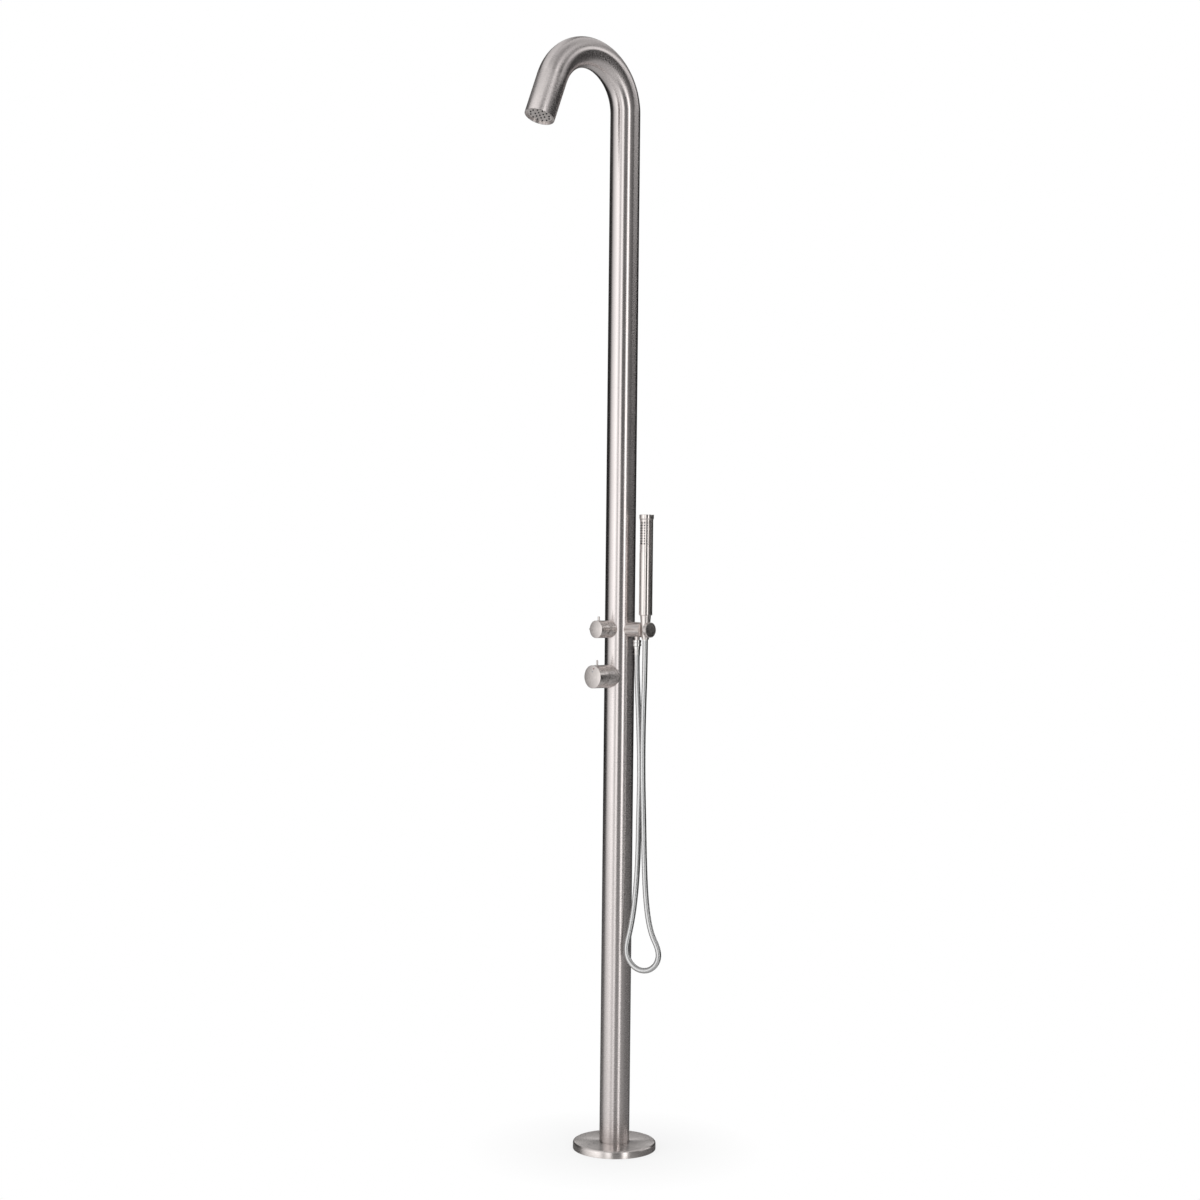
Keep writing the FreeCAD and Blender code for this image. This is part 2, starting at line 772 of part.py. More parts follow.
# ---- Arm ----------------------------------------------------------------------------------------------
def feed_start_x():
    """Where the feed tube starts, in the diverter's body."""
    return DIVERTER.port_circle_r + DIVERTER.port_d / 2 + 1.5


def feed_end_x():
    return POST_R + FEED_INTO_ARM


def cone_r(z):
    """Radius of the cone nut's outside at a height."""
    return CONE_TOP_D / 2 - CONE_SLOPE * (CONE_TOP_Z - z)


def hose_arm():
    """The bar: saddled to the post, drilled for water, with a tapered seat open to the front."""
    bar = turned(
        (0, 0),
        (ARM_D / 2, 0),
        (ARM_D / 2, ARM_END_X - ARM_EDGE),
        (ARM_D / 2 - ARM_EDGE, ARM_END_X),
        (0, ARM_END_X),
    )
    feed_pocket = rod(FEED_D / 2 + SEAT_CLEARANCE, 0, feed_end_x())
    waterway = rod(ARM_WATERWAY_D / 2, 0, OUTLET_X)
    bar = facing_right(bar.cut(feed_pocket).cut(waterway), DIVERTER_Z)
    bar = bar.cut(rod(POST_R + SEAT_CLEARANCE, ARM_BOTTOM_Z - 1, ARM_TOP_Z + 1))
    bar = bar.cut(rod(ARM_WATERWAY_D / 2, ARM_BOTTOM_Z - 1, DIVERTER_Z, OUTLET_X))
    spigot_r = OUTLET_SPIGOT_D / 2 + SEAT_CLEARANCE
    bar = bar.cut(rod(spigot_r, ARM_BOTTOM_Z - 1, ARM_BOTTOM_Z + OUTLET_SPIGOT_H, OUTLET_X))
    return bar.cut(arm_seat_space())


def arm_seat_space():
    """What the seat takes out of the arm: the cone with its clearance, a bevelled mouth and the slot."""
    low = ARM_BOTTOM_Z - 1
    high = ARM_TOP_Z + 1
    seat = turned((0, low), (cone_r(low) + FREE_CLEARANCE, low), (cone_r(high) + FREE_CLEARANCE, high), (0, high))
    mouth_r = cone_r(ARM_TOP_Z) + FREE_CLEARANCE
    bevel = turned(
        (0, ARM_TOP_Z - SEAT_EDGE),
        (mouth_r, ARM_TOP_Z - SEAT_EDGE),
        (mouth_r + SEAT_EDGE + 1, ARM_TOP_Z + 1),
        (0, ARM_TOP_Z + 1),
    )
    slot = Part.makeBox(SEAT_SLOT_W, ARM_D, high - low, V(-SEAT_SLOT_W / 2, -ARM_D, low))
    return at_arm(seat.fuse([bevel, slot]), SEAT_X)


def feed_tube():
    """The tube that carries the arm on the post and water from the diverter, grooved for its rings."""
    tube = sleeve(FEED_D / 2, FEED_BORE_D / 2, feed_start_x() + SEAT_CLEARANCE, feed_end_x() - SEAT_CLEARANCE)
    for x in feed_ring_places():
        half = FEED_RING_SECTION_D / 2 + SEAT_CLEARANCE
        tube = tube.cut(sleeve(FEED_D, FEED_D / 2 - FEED_RING_SECTION_D, x - half, x + half))
    return facing_right(tube, DIVERTER_Z)


def feed_ring_places():
    """One ring seals in the diverter's body, one in the arm."""
    return feed_start_x() + 2.2, feed_end_x() - 3.0


def feed_rings():
    """The rubber rings on the feed tube."""
    centre_r = FEED_D / 2 - FEED_RING_SECTION_D / 2
    rings = [ring_cord(centre_r, FEED_RING_SECTION_D, x) for x in feed_ring_places()]
    return facing_right(Part.makeCompound(rings), DIVERTER_Z)


# ---- Hose and its ends --------------------------------------------------------------------------------
def outlet_nipple():
    """The short pipe screwed up into the arm, with the thread that the hose's nut takes."""
    bottom = NUT_BOTTOM_Z + NUT_LIP + TAIL_FLANGE_T + WASHER_T
    nipple = turned(
        (OUTLET_SPIGOT_D / 2, ARM_BOTTOM_Z + OUTLET_SPIGOT_H - SEAT_CLEARANCE),
        (OUTLET_SPIGOT_D / 2, ARM_BOTTOM_Z),
        (OUTLET_NECK_D / 2, ARM_BOTTOM_Z),
        (OUTLET_NECK_D / 2, NUT_TOP_Z),
        (OUTLET_THREAD_D / 2, NUT_TOP_Z),
        (OUTLET_THREAD_D / 2, bottom),
        (HOSE_BORE_D / 2, bottom),
        (HOSE_BORE_D / 2, ARM_BOTTOM_Z + OUTLET_SPIGOT_H - SEAT_CLEARANCE),
    )
    return at_arm(nipple, OUTLET_X)


def outlet_washer():
    """The rubber washer between the nipple and the hose."""
    start = NUT_BOTTOM_Z + NUT_LIP + TAIL_FLANGE_T
    return at_arm(sleeve(OUTLET_THREAD_D / 2 - 0.2, HOSE_BORE_D / 2, start, start + WASHER_T), OUTLET_X)


def outlet_nut():
    """The slim round nut on the hose, with two spanner flats and a lip that holds the hose's tail."""
    bore_r = OUTLET_THREAD_D / 2 + SEAT_CLEARANCE
    nut = sleeve(NUT_D / 2, bore_r, NUT_BOTTOM_Z, NUT_TOP_Z)
    lip = sleeve(bore_r + 0.5, OUTLET_NECK_D / 2 + SEAT_CLEARANCE, NUT_BOTTOM_Z, NUT_BOTTOM_Z + NUT_LIP)
    nut = nut.fuse(lip).removeSplitter()
    for side in (-1, 1):
        flat = Part.makeBox(NUT_D, NUT_D, NUT_H / 2, V(-NUT_D / 2, 0, NUT_BOTTOM_Z + NUT_H / 4))
        flat.translate(V(0, NUT_D / 2 - NUT_FLAT_DEPTH, 0))
        flat.rotate(V(0, 0, 0), V(0, 0, 1), 90 * side)
        nut = nut.cut(flat)
    return at_arm(nut, OUTLET_X)


def outlet_ferrule():
    """The hose's lower end: a tail held by the nut, and the crimped sleeve under it."""
    flange_start = NUT_BOTTOM_Z + NUT_LIP
    neck_r = OUTLET_NECK_D / 2
    ferrule = turned(
        (HOSE_BORE_D / 2, flange_start + TAIL_FLANGE_T),
        (OUTLET_THREAD_D / 2 - 0.2, flange_start + TAIL_FLANGE_T),
        (OUTLET_THREAD_D / 2 - 0.2, flange_start),
        (neck_r, flange_start),
        (neck_r, SLEEVE_TOP_Z),
        (SLEEVE_TOP_D / 2, SLEEVE_TOP_Z),
        (SLEEVE_BOTTOM_D / 2, SLEEVE_BOTTOM_Z),
        (HOSE_BORE_D / 2, SLEEVE_BOTTOM_Z),
    )
    return at_arm(ferrule, OUTLET_X)


def route_wire(route, name):
    """Straight runs joined by tangent arcs, each as large as its two runs allow. Prints the arcs' radii."""
    edges = []
    radii = []
    start = route[0]
    for before, corner, after in zip(route, route[1:], route[2:]):
        back = (before - corner).normalize()
        onward = (after - corner).normalize()
        half_turn = (math.pi - back.getAngle(onward)) / 2
        cut = ARC_SHARE * min((before - corner).Length, (after - corner).Length)
        radius = cut / math.tan(half_turn)
        inward = (back + onward).normalize()
        middle = corner + inward * (radius / math.cos(half_turn) - radius)
        first = corner + back * cut
        last = corner + onward * cut
        edges += [Part.LineSegment(start, first).toShape(), Part.Arc(first, middle, last).toShape()]
        radii.append(round(radius, 1))
        start = last
    edges.append(Part.LineSegment(start, route[-1]).toShape())
    print(f"{name} arc radii, mm: {radii}")
    return Part.Wire(edges)


def swept(route, diameter, name):
    """A round solid along a route. Prints its length, and its volume against section times length."""
    wire = route_wire(route, name)
    way = (route[1] - route[0]).normalize()
    section = Part.Wire(Part.makeCircle(diameter / 2, route[0], way))
    solid = wire.makePipeShell([section], True, False)
    share = solid.Volume / (math.pi * diameter ** 2 / 4 * wire.Length)
    print(f"{name} length {wire.Length:.1f} mm, volume {share:.4f} of section times length")
    return solid


def swivel_top():
    return CONE_TOP_Z - HANDSET_THREAD_H - WASHER_T


def hose_swivel():
    """The hose's upper end, which the cone nut turns on and lifts out with."""
    top = swivel_top()
    swivel = turned(
        (HOSE_BORE_D / 2, top),
        (HANDSET_THREAD_D / 2, top),
        (HANDSET_THREAD_D / 2, top - SWIVEL_FLANGE_T),
        (SWIVEL_STEM_D / 2, top - SWIVEL_FLANGE_T),
        (SWIVEL_STEM_D / 2, HOSE_TOP_Z),
        (HOSE_BORE_D / 2, HOSE_TOP_Z),
    )
    return at_arm(swivel, SEAT_X)


def cone_nut():
    """The tapered nut that stands in the arm's seat and screws to the hand shower."""
    flange_space_r = HANDSET_THREAD_D / 2 + RUNNING_CLEARANCE
    stem_space_r = SWIVEL_STEM_D / 2 + RUNNING_CLEARANCE
    step = swivel_top() - SWIVEL_FLANGE_T - RUNNING_CLEARANCE
    nut = turned(
        (CONE_TOP_D / 2, CONE_TOP_Z),
        (CONE_BOTTOM_D / 2, CONE_BOTTOM_Z),
        (stem_space_r, CONE_BOTTOM_Z),
        (stem_space_r, step),
        (flange_space_r, step),
        (flange_space_r, CONE_TOP_Z),
    )
    return at_arm(nut, SEAT_X)


def handset_washer():
    """The rubber washer between the hose's end and the hand shower's tail."""
    start = swivel_top()
    return at_arm(sleeve(HANDSET_THREAD_D / 2 - 0.2, HOSE_BORE_D / 2, start, start + WASHER_T), SEAT_X)


# ---- Hand shower --------------------------------------------------------------------------------------
def spray_sector(outer_r, inner_r, start, end):
    """A band round the front of the hand shower."""
    return sector(outer_r, inner_r, 270 - SPRAY_HALF_ANGLE, 270 + SPRAY_HALF_ANGLE, start, end)


def handset_body():
    """The stick: a threaded tail, a round body with a spray window and grip grooves, and its waterway."""
    outer_r = HANDSET_D / 2
    thread_bottom = CONE_TOP_Z - HANDSET_THREAD_H
    body = turned(
        (0, thread_bottom),
        (HANDSET_THREAD_D / 2, thread_bottom),
        (HANDSET_THREAD_D / 2, CONE_TOP_Z),
        (outer_r - HANDSET_FOOT_EDGE, CONE_TOP_Z),
        (outer_r, CONE_TOP_Z + HANDSET_FOOT_EDGE),
        (outer_r, CAP_BOTTOM_Z),
        (0, CAP_BOTTOM_Z),
    )
    body = body.cut(rod(HANDSET_BORE_D / 2, thread_bottom - 1, SPRAY_TOP_Z))
    body = body.cut(rod(CAP_SPIGOT_D / 2 + SEAT_CLEARANCE, CAP_BOTTOM_Z - CAP_SPIGOT_H, CAP_BOTTOM_Z + 1))
    body = body.cut(spray_sector(outer_r + 1, HANDSET_BORE_D / 2 - 1, SPRAY_BOTTOM_Z, SPRAY_TOP_Z))
    for i in range(GROOVE_COUNT):
        top = SPRAY_BOTTOM_Z - GROOVE_BELOW_SPRAY - i * GROOVE_PITCH
        body = body.cut(spray_sector(outer_r + 1, outer_r - GROOVE_DEPTH, top - GROOVE_W, top))
    return at_arm(body, SEAT_X)


def spray_strip():
    """The soft strip in the window that holds the nozzles."""
    outer_r = HANDSET_D / 2 - SPRAY_RECESS
    inner_r = outer_r - SPRAY_STRIP_T
    half = SPRAY_HALF_ANGLE - 0.3
    strip = sector(
        outer_r, inner_r, 270 - half, 270 + half, SPRAY_BOTTOM_Z + SEAT_CLEARANCE, SPRAY_TOP_Z - SEAT_CLEARANCE
    )
    return at_arm(strip, SEAT_X)


def handset_cap():
    """The end cap, a little wider than the body, with a spigot into it."""
    cap = turned(
        (0, CAP_BOTTOM_Z - CAP_SPIGOT_H + SEAT_CLEARANCE),
        (CAP_SPIGOT_D / 2, CAP_BOTTOM_Z - CAP_SPIGOT_H + SEAT_CLEARANCE),
        (CAP_SPIGOT_D / 2, CAP_BOTTOM_Z),
        (HANDSET_D / 2, CAP_BOTTOM_Z),
        (CAP_D / 2, CAP_BOTTOM_Z + CAP_TAPER_H),
        (CAP_D / 2, HANDSET_TOP_Z - ARM_EDGE),
        (CAP_D / 2 - ARM_EDGE, HANDSET_TOP_Z),
        (0, HANDSET_TOP_Z),
    )
    return at_arm(cap, SEAT_X)


# ---- Rose, drawn with the way out along +Z and the mouth's rim at zero --------------------------------
ROSE_R = POST_BORE_R - SEAT_CLEARANCE
ROSE_FACE = -ROSE_SETBACK
ROSE_BACK = ROSE_FACE - ROSE_H
ROSE_PLATE_FRONT = ROSE_FACE - ROSE_PLATE_SETBACK
ROSE_PLATE_BACK = ROSE_PLATE_FRONT - ROSE_PLATE_T
ROSE_MAT_BACK = ROSE_PLATE_BACK - ROSE_MAT_T
ROSE_OPEN_R = ROSE_R - ROSE_RIM_W
NOZZLE_RING_PITCH = (ROSE_OPEN_R - NOZZLE_FROM_RIM) / NOZZLE_RINGS


def nozzle_places():
    """One nozzle in the middle and rings of six, twelve and so on round it."""
    places = [(0.0, 0.0)]
    for ring in range(1, NOZZLE_RINGS + 1):
        places += [on_circle(ring * NOZZLE_RING_PITCH, i * 60 / ring) for i in range(6 * ring)]
    return places


def rose_screw_space(radius):
    """Where the rose's fixing screw passes through the side of the tube that faces the post."""
    along = ROSE_FACE - ROSE_SCREW_FROM_FACE
    reach = placed(rod(radius, -POST_R - 1, -ROSE_R + ROSE_WALL / 2), V(0, 0, along), V(1, 0, 0), -90)
    return in_mouth(reach)


def rose_housing():
    """The cup that fills the mouth: open to the front, with a ring groove and a neck for the riser."""
    shelf = ROSE_MAT_BACK
    cup = turned(
        (RISER_D / 2 + SEAT_CLEARANCE, ROSE_BACK - ROSE_NECK_H),
        (ROSE_NECK_D / 2, ROSE_BACK - ROSE_NECK_H),
        (ROSE_NECK_D / 2, ROSE_BACK),
        (ROSE_R, ROSE_BACK),
        (ROSE_R, ROSE_FACE),
        (ROSE_OPEN_R, ROSE_FACE),
        (ROSE_OPEN_R, shelf),
        (ROSE_OPEN_R - 2, shelf),
        (ROSE_OPEN_R - 2, ROSE_BACK + ROSE_WALL),
        (RISER_D / 2 + SEAT_CLEARANCE, ROSE_BACK + ROSE_WALL),
    )
    z = ROSE_FACE - ROSE_RING_FROM_FACE
    half = ROSE_RING_SECTION_D / 2 + SEAT_CLEARANCE
    cup = cup.cut(sleeve(ROSE_R + 1, ROSE_R - ROSE_RING_SECTION_D, z - half, z + half))
    return in_mouth(cup).cut(rose_screw_space(ROSE_SCREW_D / 2 + SEAT_CLEARANCE))


def rose_ring():
    """The rubber ring round the rose's cup."""
    centre_r = ROSE_R - ROSE_RING_SECTION_D / 2
    return in_mouth(ring_cord(centre_r, ROSE_RING_SECTION_D, ROSE_FACE - ROSE_RING_FROM_FACE))


def rose_mat():
    """The soft mat behind the face plate, with a nozzle through each of the plate's holes."""
    mat = rod(ROSE_OPEN_R - SEAT_CLEARANCE, ROSE_MAT_BACK, ROSE_PLATE_BACK)
    tip = ROSE_PLATE_FRONT + NOZZLE_PROUD
    nozzle = rod(NOZZLE_D / 2, ROSE_PLATE_BACK - 0.5, tip)
    bore = rod(NOZZLE_BORE_D / 2, ROSE_MAT_BACK - 1, tip + 1)
    nozzles = []
    bores = []
    for x, y in nozzle_places():
        nozzles.append(placed(nozzle, V(x, y, 0)))
        bores.append(placed(bore, V(x, y, 0)))
    return in_mouth(mat.fuse(nozzles).cut(Part.makeCompound(bores)))


def rose_plate():
    """The thin metal face plate with a hole round each nozzle."""
    plate = rod(ROSE_OPEN_R - SEAT_CLEARANCE, ROSE_PLATE_BACK, ROSE_PLATE_FRONT)
    for x, y in nozzle_places():
        hole = rod(NOZZLE_D / 2 + SEAT_CLEARANCE, ROSE_PLATE_BACK - 1, ROSE_PLATE_FRONT + 1, x, y)
        plate = plate.cut(hole)
    return in_mouth(plate)


def rose_screw():
    """The grub screw that keeps the rose in the tube."""
    outer = -POST_R + 0.3
    screw = rod(ROSE_SCREW_D / 2, outer, outer + ROSE_SCREW_L)
    screw = screw.cut(hexagon(ROSE_SCREW_D / 2, outer - 1, outer + 1.5))
    along = ROSE_FACE - ROSE_SCREW_FROM_FACE
    return in_mouth(placed(screw, V(0, 0, along), V(1, 0, 0), -90))


# ---- Pipes inside the post ----------------------------------------------------------------------------
def link_pipe():
    """The short pipe from the mixer up to the diverter, with a hexagon and a threaded end at each valve."""
    low = MIXER_Z + MIXER.body_flat
    high = DIVERTER_Z - DIVERTER.body_flat
    spigot = TAIL_THREAD_DEPTH - 0.5
    pipe = rod(TAIL_THREAD_D / 2, low - spigot, low)
    pieces = [
        hexagon(LINK_HEX, low, low + TAIL_HEX_H),
        rod(LINK_PIPE_D / 2, low + TAIL_HEX_H, high - TAIL_HEX_H),
        hexagon(LINK_HEX, high - TAIL_HEX_H, high),
        rod(TAIL_THREAD_D / 2, high, high + spigot),
    ]
    bore = rod(WATERWAY_D / 2, low - spigot - 1, high + spigot + 1)
    return pipe.fuse(pieces).cut(bore).removeSplitter()


def riser_base():
    return DIVERTER_Z + DIVERTER.body_flat


def riser_fitting():
    """The fitting on top of the diverter that the riser pipe is soldered into."""
    base = riser_base()
    top = base + RISER_HEX_H + RISER_SOCKET_H
    fitting = rod(TAIL_THREAD_D / 2, base - TAIL_THREAD_DEPTH + 0.5, base)
    fitting = fitting.fuse([hexagon(RISER_HEX, base, base + RISER_HEX_H), rod(RISER_SOCKET_D / 2, base, top)])
    fitting = fitting.cut(rod(WATERWAY_D / 2, base - TAIL_THREAD_DEPTH - 1, top + 1))
    return fitting.cut(rod(RISER_D / 2 + SEAT_CLEARANCE, top - RISER_INSERTION, top + 1)).removeSplitter()


def riser_pipe():
    """The pipe up the post and round its bend to the rose."""
    bottom = riser_base() + RISER_HEX_H + RISER_SOCKET_H - RISER_INSERTION + SEAT_CLEARANCE
    setback = -(ROSE_BACK - ROSE_NECK_H + RISER_INSERTION)
    outside = post_shaped(RISER_D / 2, bottom, setback)
    inside = post_shaped(RISER_D / 2 - RISER_WALL, bottom - 1, setback - 1)
    return outside.cut(inside)


def supply_places():
    """For each supply: its x at the mixer, its x at the foot and the height of its nut's mouth."""
    (cold_x, _), (hot_x, _) = port_places(MIXER)[1:]
    return {"cold": (cold_x, -INLET_X, COLD_INLET_Z), "hot": (hot_x, INLET_X, HOT_INLET_Z)}


def supply_top():
    """Underside of the fittings screwed into the mixer, where the hoses start."""
    return MIXER_Z - MIXER.body_flat - TAIL_HEX_H - SUPPLY_FERRULE_H


def supply_foot(mouth_z):
    """Top of the tail that stands in an inlet nut, where its hose ends."""
    return mouth_z + INLET_NUT_H + SUPPLY_FERRULE_H


def supply_hose(name):
    """One braided hose from the mixer down to the foot, easing outwards to its nut."""
    top_x, foot_x, mouth_z = supply_places()[name]
    top = supply_top()
    foot = supply_foot(mouth_z)
    route = [
        V(top_x, 0, top),
        V(top_x, 0, top - SUPPLY_STRAIGHT_H),
        V(foot_x, 0, foot + SUPPLY_STRAIGHT_H),
        V(foot_x, 0, foot),
    ]
    return swept(route, SUPPLY_HOSE_D, f"{name} supply hose")


def supply_tails():
    """The two fittings under the mixer: a thread, a hexagon and a crimped ferrule each."""
    low = supply_top()
    high = MIXER_Z - MIXER.body_flat
    tails = []
    for top_x, _, _ in supply_places().values():
        tail = rod(SUPPLY_FERRULE_D / 2, low, high - TAIL_HEX_H)
        tail = tail.fuse([
            hexagon(TAIL_HEX, high - TAIL_HEX_H, high),
            rod(TAIL_THREAD_D / 2, high, high + TAIL_THREAD_DEPTH - 0.5),
        ])
        tail = tail.cut(rod(WATERWAY_D / 2, low - 1, high + TAIL_THREAD_DEPTH)).removeSplitter()
        tails.append(placed(tail, V(top_x, 0, 0)))
    return Part.makeCompound(tails)


def inlet_nuts():
    """The two union nuts at the foot, open below for the supply pipes, with an undercut for the tail's flange."""
    nuts = []
    for _, foot_x, mouth_z in supply_places().values():
        top = mouth_z + INLET_NUT_H
        thread_top = mouth_z + INLET_THREAD_H
        lip = thread_top + INLET_FLANGE_T + SEAT_CLEARANCE
        nut = hexagon(INLET_HEX, mouth_z, top)
        nut = nut.cut(rod(INLET_THREAD_R, mouth_z - 1, thread_top))
        nut = nut.cut(rod(INLET_THREAD_R + INLET_UNDERCUT, thread_top, lip))
        nut = nut.cut(rod(INLET_LIP_BORE_D / 2, mouth_z - 1, top + 1))
        nuts.append(placed(nut, V(foot_x, 0, 0)))
    return Part.makeCompound(nuts)


def inlet_tails():
    """The flanged tails that the inlet nuts pull down, each crimped on the end of its hose."""
    tails = []
    for _, foot_x, mouth_z in supply_places().values():
        flange_low = mouth_z + INLET_THREAD_H
        lip = flange_low + INLET_FLANGE_T
        tail = rod(INLET_THREAD_R - SEAT_CLEARANCE, flange_low, lip)
        tail = tail.fuse([
            rod(INLET_TAIL_D / 2, lip, mouth_z + INLET_NUT_H + 1),
            rod(SUPPLY_FERRULE_D / 2, mouth_z + INLET_NUT_H + 1, supply_foot(mouth_z)),
        ])
        tail = tail.cut(rod(WATERWAY_D / 2, flange_low - 1, supply_foot(mouth_z) + 1)).removeSplitter()
        tails.append(placed(tail, V(foot_x, 0, 0)))
    return Part.makeCompound(tails)


# ---- All nodes ----------------------------------------------------------------------------------------
def build():
    """Every node of the post, by name."""
    ring_r, ring_z = cover_ring_place()
    parts = {
        "floor_plate": floor_plate(),
        "foot_cover": foot_cover(),
        "cover_ring": ring_cord(ring_r, RING_SECTION_D, ring_z),
        "post_tube": post_tube(),
        "mixer_body": mixer_body(),
        "diverter_body": diverter_body(),
        "hose_arm": hose_arm(),
        "feed_tube": feed_tube(),
        "feed_rings": feed_rings(),
        "outlet_nipple": outlet_nipple(),
        "outlet_washer": outlet_washer(),
        "outlet_nut": outlet_nut(),
        "outlet_ferrule": outlet_ferrule(),
        "shower_hose": swept(HOSE_ROUTE, HOSE_D, "shower hose"),
        "hose_swivel": hose_swivel(),
        "cone_nut": cone_nut(),
        "handset_washer": handset_washer(),
        "handset_body": handset_body(),
        "spray_strip": spray_strip(),
        "handset_cap": handset_cap(),
        "rose_housing": rose_housing(),
        "rose_ring": rose_ring(),
        "rose_mat": rose_mat(),
        "rose_plate": rose_plate(),
        "rose_screw": rose_screw(),
        "link_pipe": link_pipe(),
        "riser_fitting": riser_fitting(),
        "riser_pipe": riser_pipe(),
        "supply_tails": supply_tails(),
        "cold_hose": supply_hose("cold"),
        "hot_hose": supply_hose("hot"),
        "inlet_nuts": inlet_nuts(),
        "inlet_tails": inlet_tails(),
    }
    for valve in (MIXER, DIVERTER):
        parts.update(valve_parts(valve))
    return parts


os.makedirs("parts", exist_ok=True)
for node, shape in build().items():
    shape.exportStep(f"parts/{node}.step")
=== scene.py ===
import json
import logging
import math
from dataclasses import dataclass
from enum import Enum
from typing import Iterable, Optional, Sequence, Union

import bmesh
import bpy
from mathutils import Matrix, Vector


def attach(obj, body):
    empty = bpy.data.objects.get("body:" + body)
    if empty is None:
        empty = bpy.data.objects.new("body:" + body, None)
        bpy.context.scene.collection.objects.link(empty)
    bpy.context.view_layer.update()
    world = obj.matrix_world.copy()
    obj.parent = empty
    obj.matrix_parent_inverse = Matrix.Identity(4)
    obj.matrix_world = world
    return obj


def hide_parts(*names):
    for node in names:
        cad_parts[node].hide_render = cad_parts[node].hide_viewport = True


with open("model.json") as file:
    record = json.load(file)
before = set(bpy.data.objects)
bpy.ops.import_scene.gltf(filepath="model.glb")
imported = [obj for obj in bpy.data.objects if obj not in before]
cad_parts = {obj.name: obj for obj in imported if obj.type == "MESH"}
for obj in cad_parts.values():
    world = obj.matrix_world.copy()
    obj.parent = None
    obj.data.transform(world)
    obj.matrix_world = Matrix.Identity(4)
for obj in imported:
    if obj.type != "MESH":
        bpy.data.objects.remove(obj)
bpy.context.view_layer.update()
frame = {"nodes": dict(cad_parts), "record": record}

# The looks of an outdoor shower post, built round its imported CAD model. Lengths are in metres. +Z is up, the
# spout and the knobs point to -Y, and the hand shower's arm points to +X.

log = logging.getLogger("shower_post")

Mesh = bmesh.types.BMesh
Piece = bpy.types.Object
Material = bpy.types.Material
Socket = bpy.types.NodeSocket
Triple = tuple[float, float, float]
Pair = tuple[float, float]
Profile = Sequence[Pair]
Stops = tuple[Pair, ...]
Window = tuple[float, float, float, float]

GRAIN_MAP = "grain"
TAU = 2 * math.pi
MERGE_DISTANCE = 1e-6
LEVEL_MARGIN = 1e-5
# A face of a turned piece is an end where its normal's share along the axis is over this.
END_FACING = 0.7
# Angles between two faces: up to the first they are one flat face, and over the next two a corner to round.
FLAT_DEGREES = 0.3
CORNER_DEGREES = 25.0
STEEP_CORNER_DEGREES = 60.0
# Angles up to which edges are shaded smooth.
CRISP_DEGREES = 30.0
NOZZLE_DEGREES = 35.0
ROUND_DEGREES = 60.0
WHITE = (1.0, 1.0, 1.0)
UP, DOWN, FRONT, BACK, LEFT, RIGHT = (0, 0, 1), (0, 0, -1), (0, -1, 0), (0, 1, 0), (-1, 0, 0), (1, 0, 0)

# ---- Places shared by several sub-assemblies ----------------------------------------------------------
POST_RADIUS = 0.030
MIXER_HEIGHT = 0.948
DIVERTER_HEIGHT = 1.042
SEAT_X = 0.072
OUTLET_X = 0.0495


class Slot(Enum):
    """The record's material slots."""

    POST = "post_steel"
    PLATE = "plate_steel"
    COVER = "cover_steel"
    TURNED = "turned_steel"
    FITTING = "fitting_steel"
    HOSE = "hose_steel"
    BRASS = "brass"
    CARTRIDGE = "cartridge_plastic"
    CERAMIC = "ceramic"
    SEAL = "seal_rubber"
    NOZZLE = "nozzle_silicone"
    BRAID = "braided_hose"


class Body(Enum):
    """The bodies that move on their own."""

    POST = "post"
    COVER = "cover"
    MIXER_HANDLE = "mixer_handle"
    DIVERTER_HANDLE = "diverter_handle"
    HOSE_END = "hose_end"
    HANDSET = "handset"


# ---- Finishes -----------------------------------------------------------------------------------------
def tinted(colour: Triple, factor: float) -> Triple:
    """A colour made lighter or darker by a factor, kept under 1."""
    return tuple(min(1.0, c * factor) for c in colour)


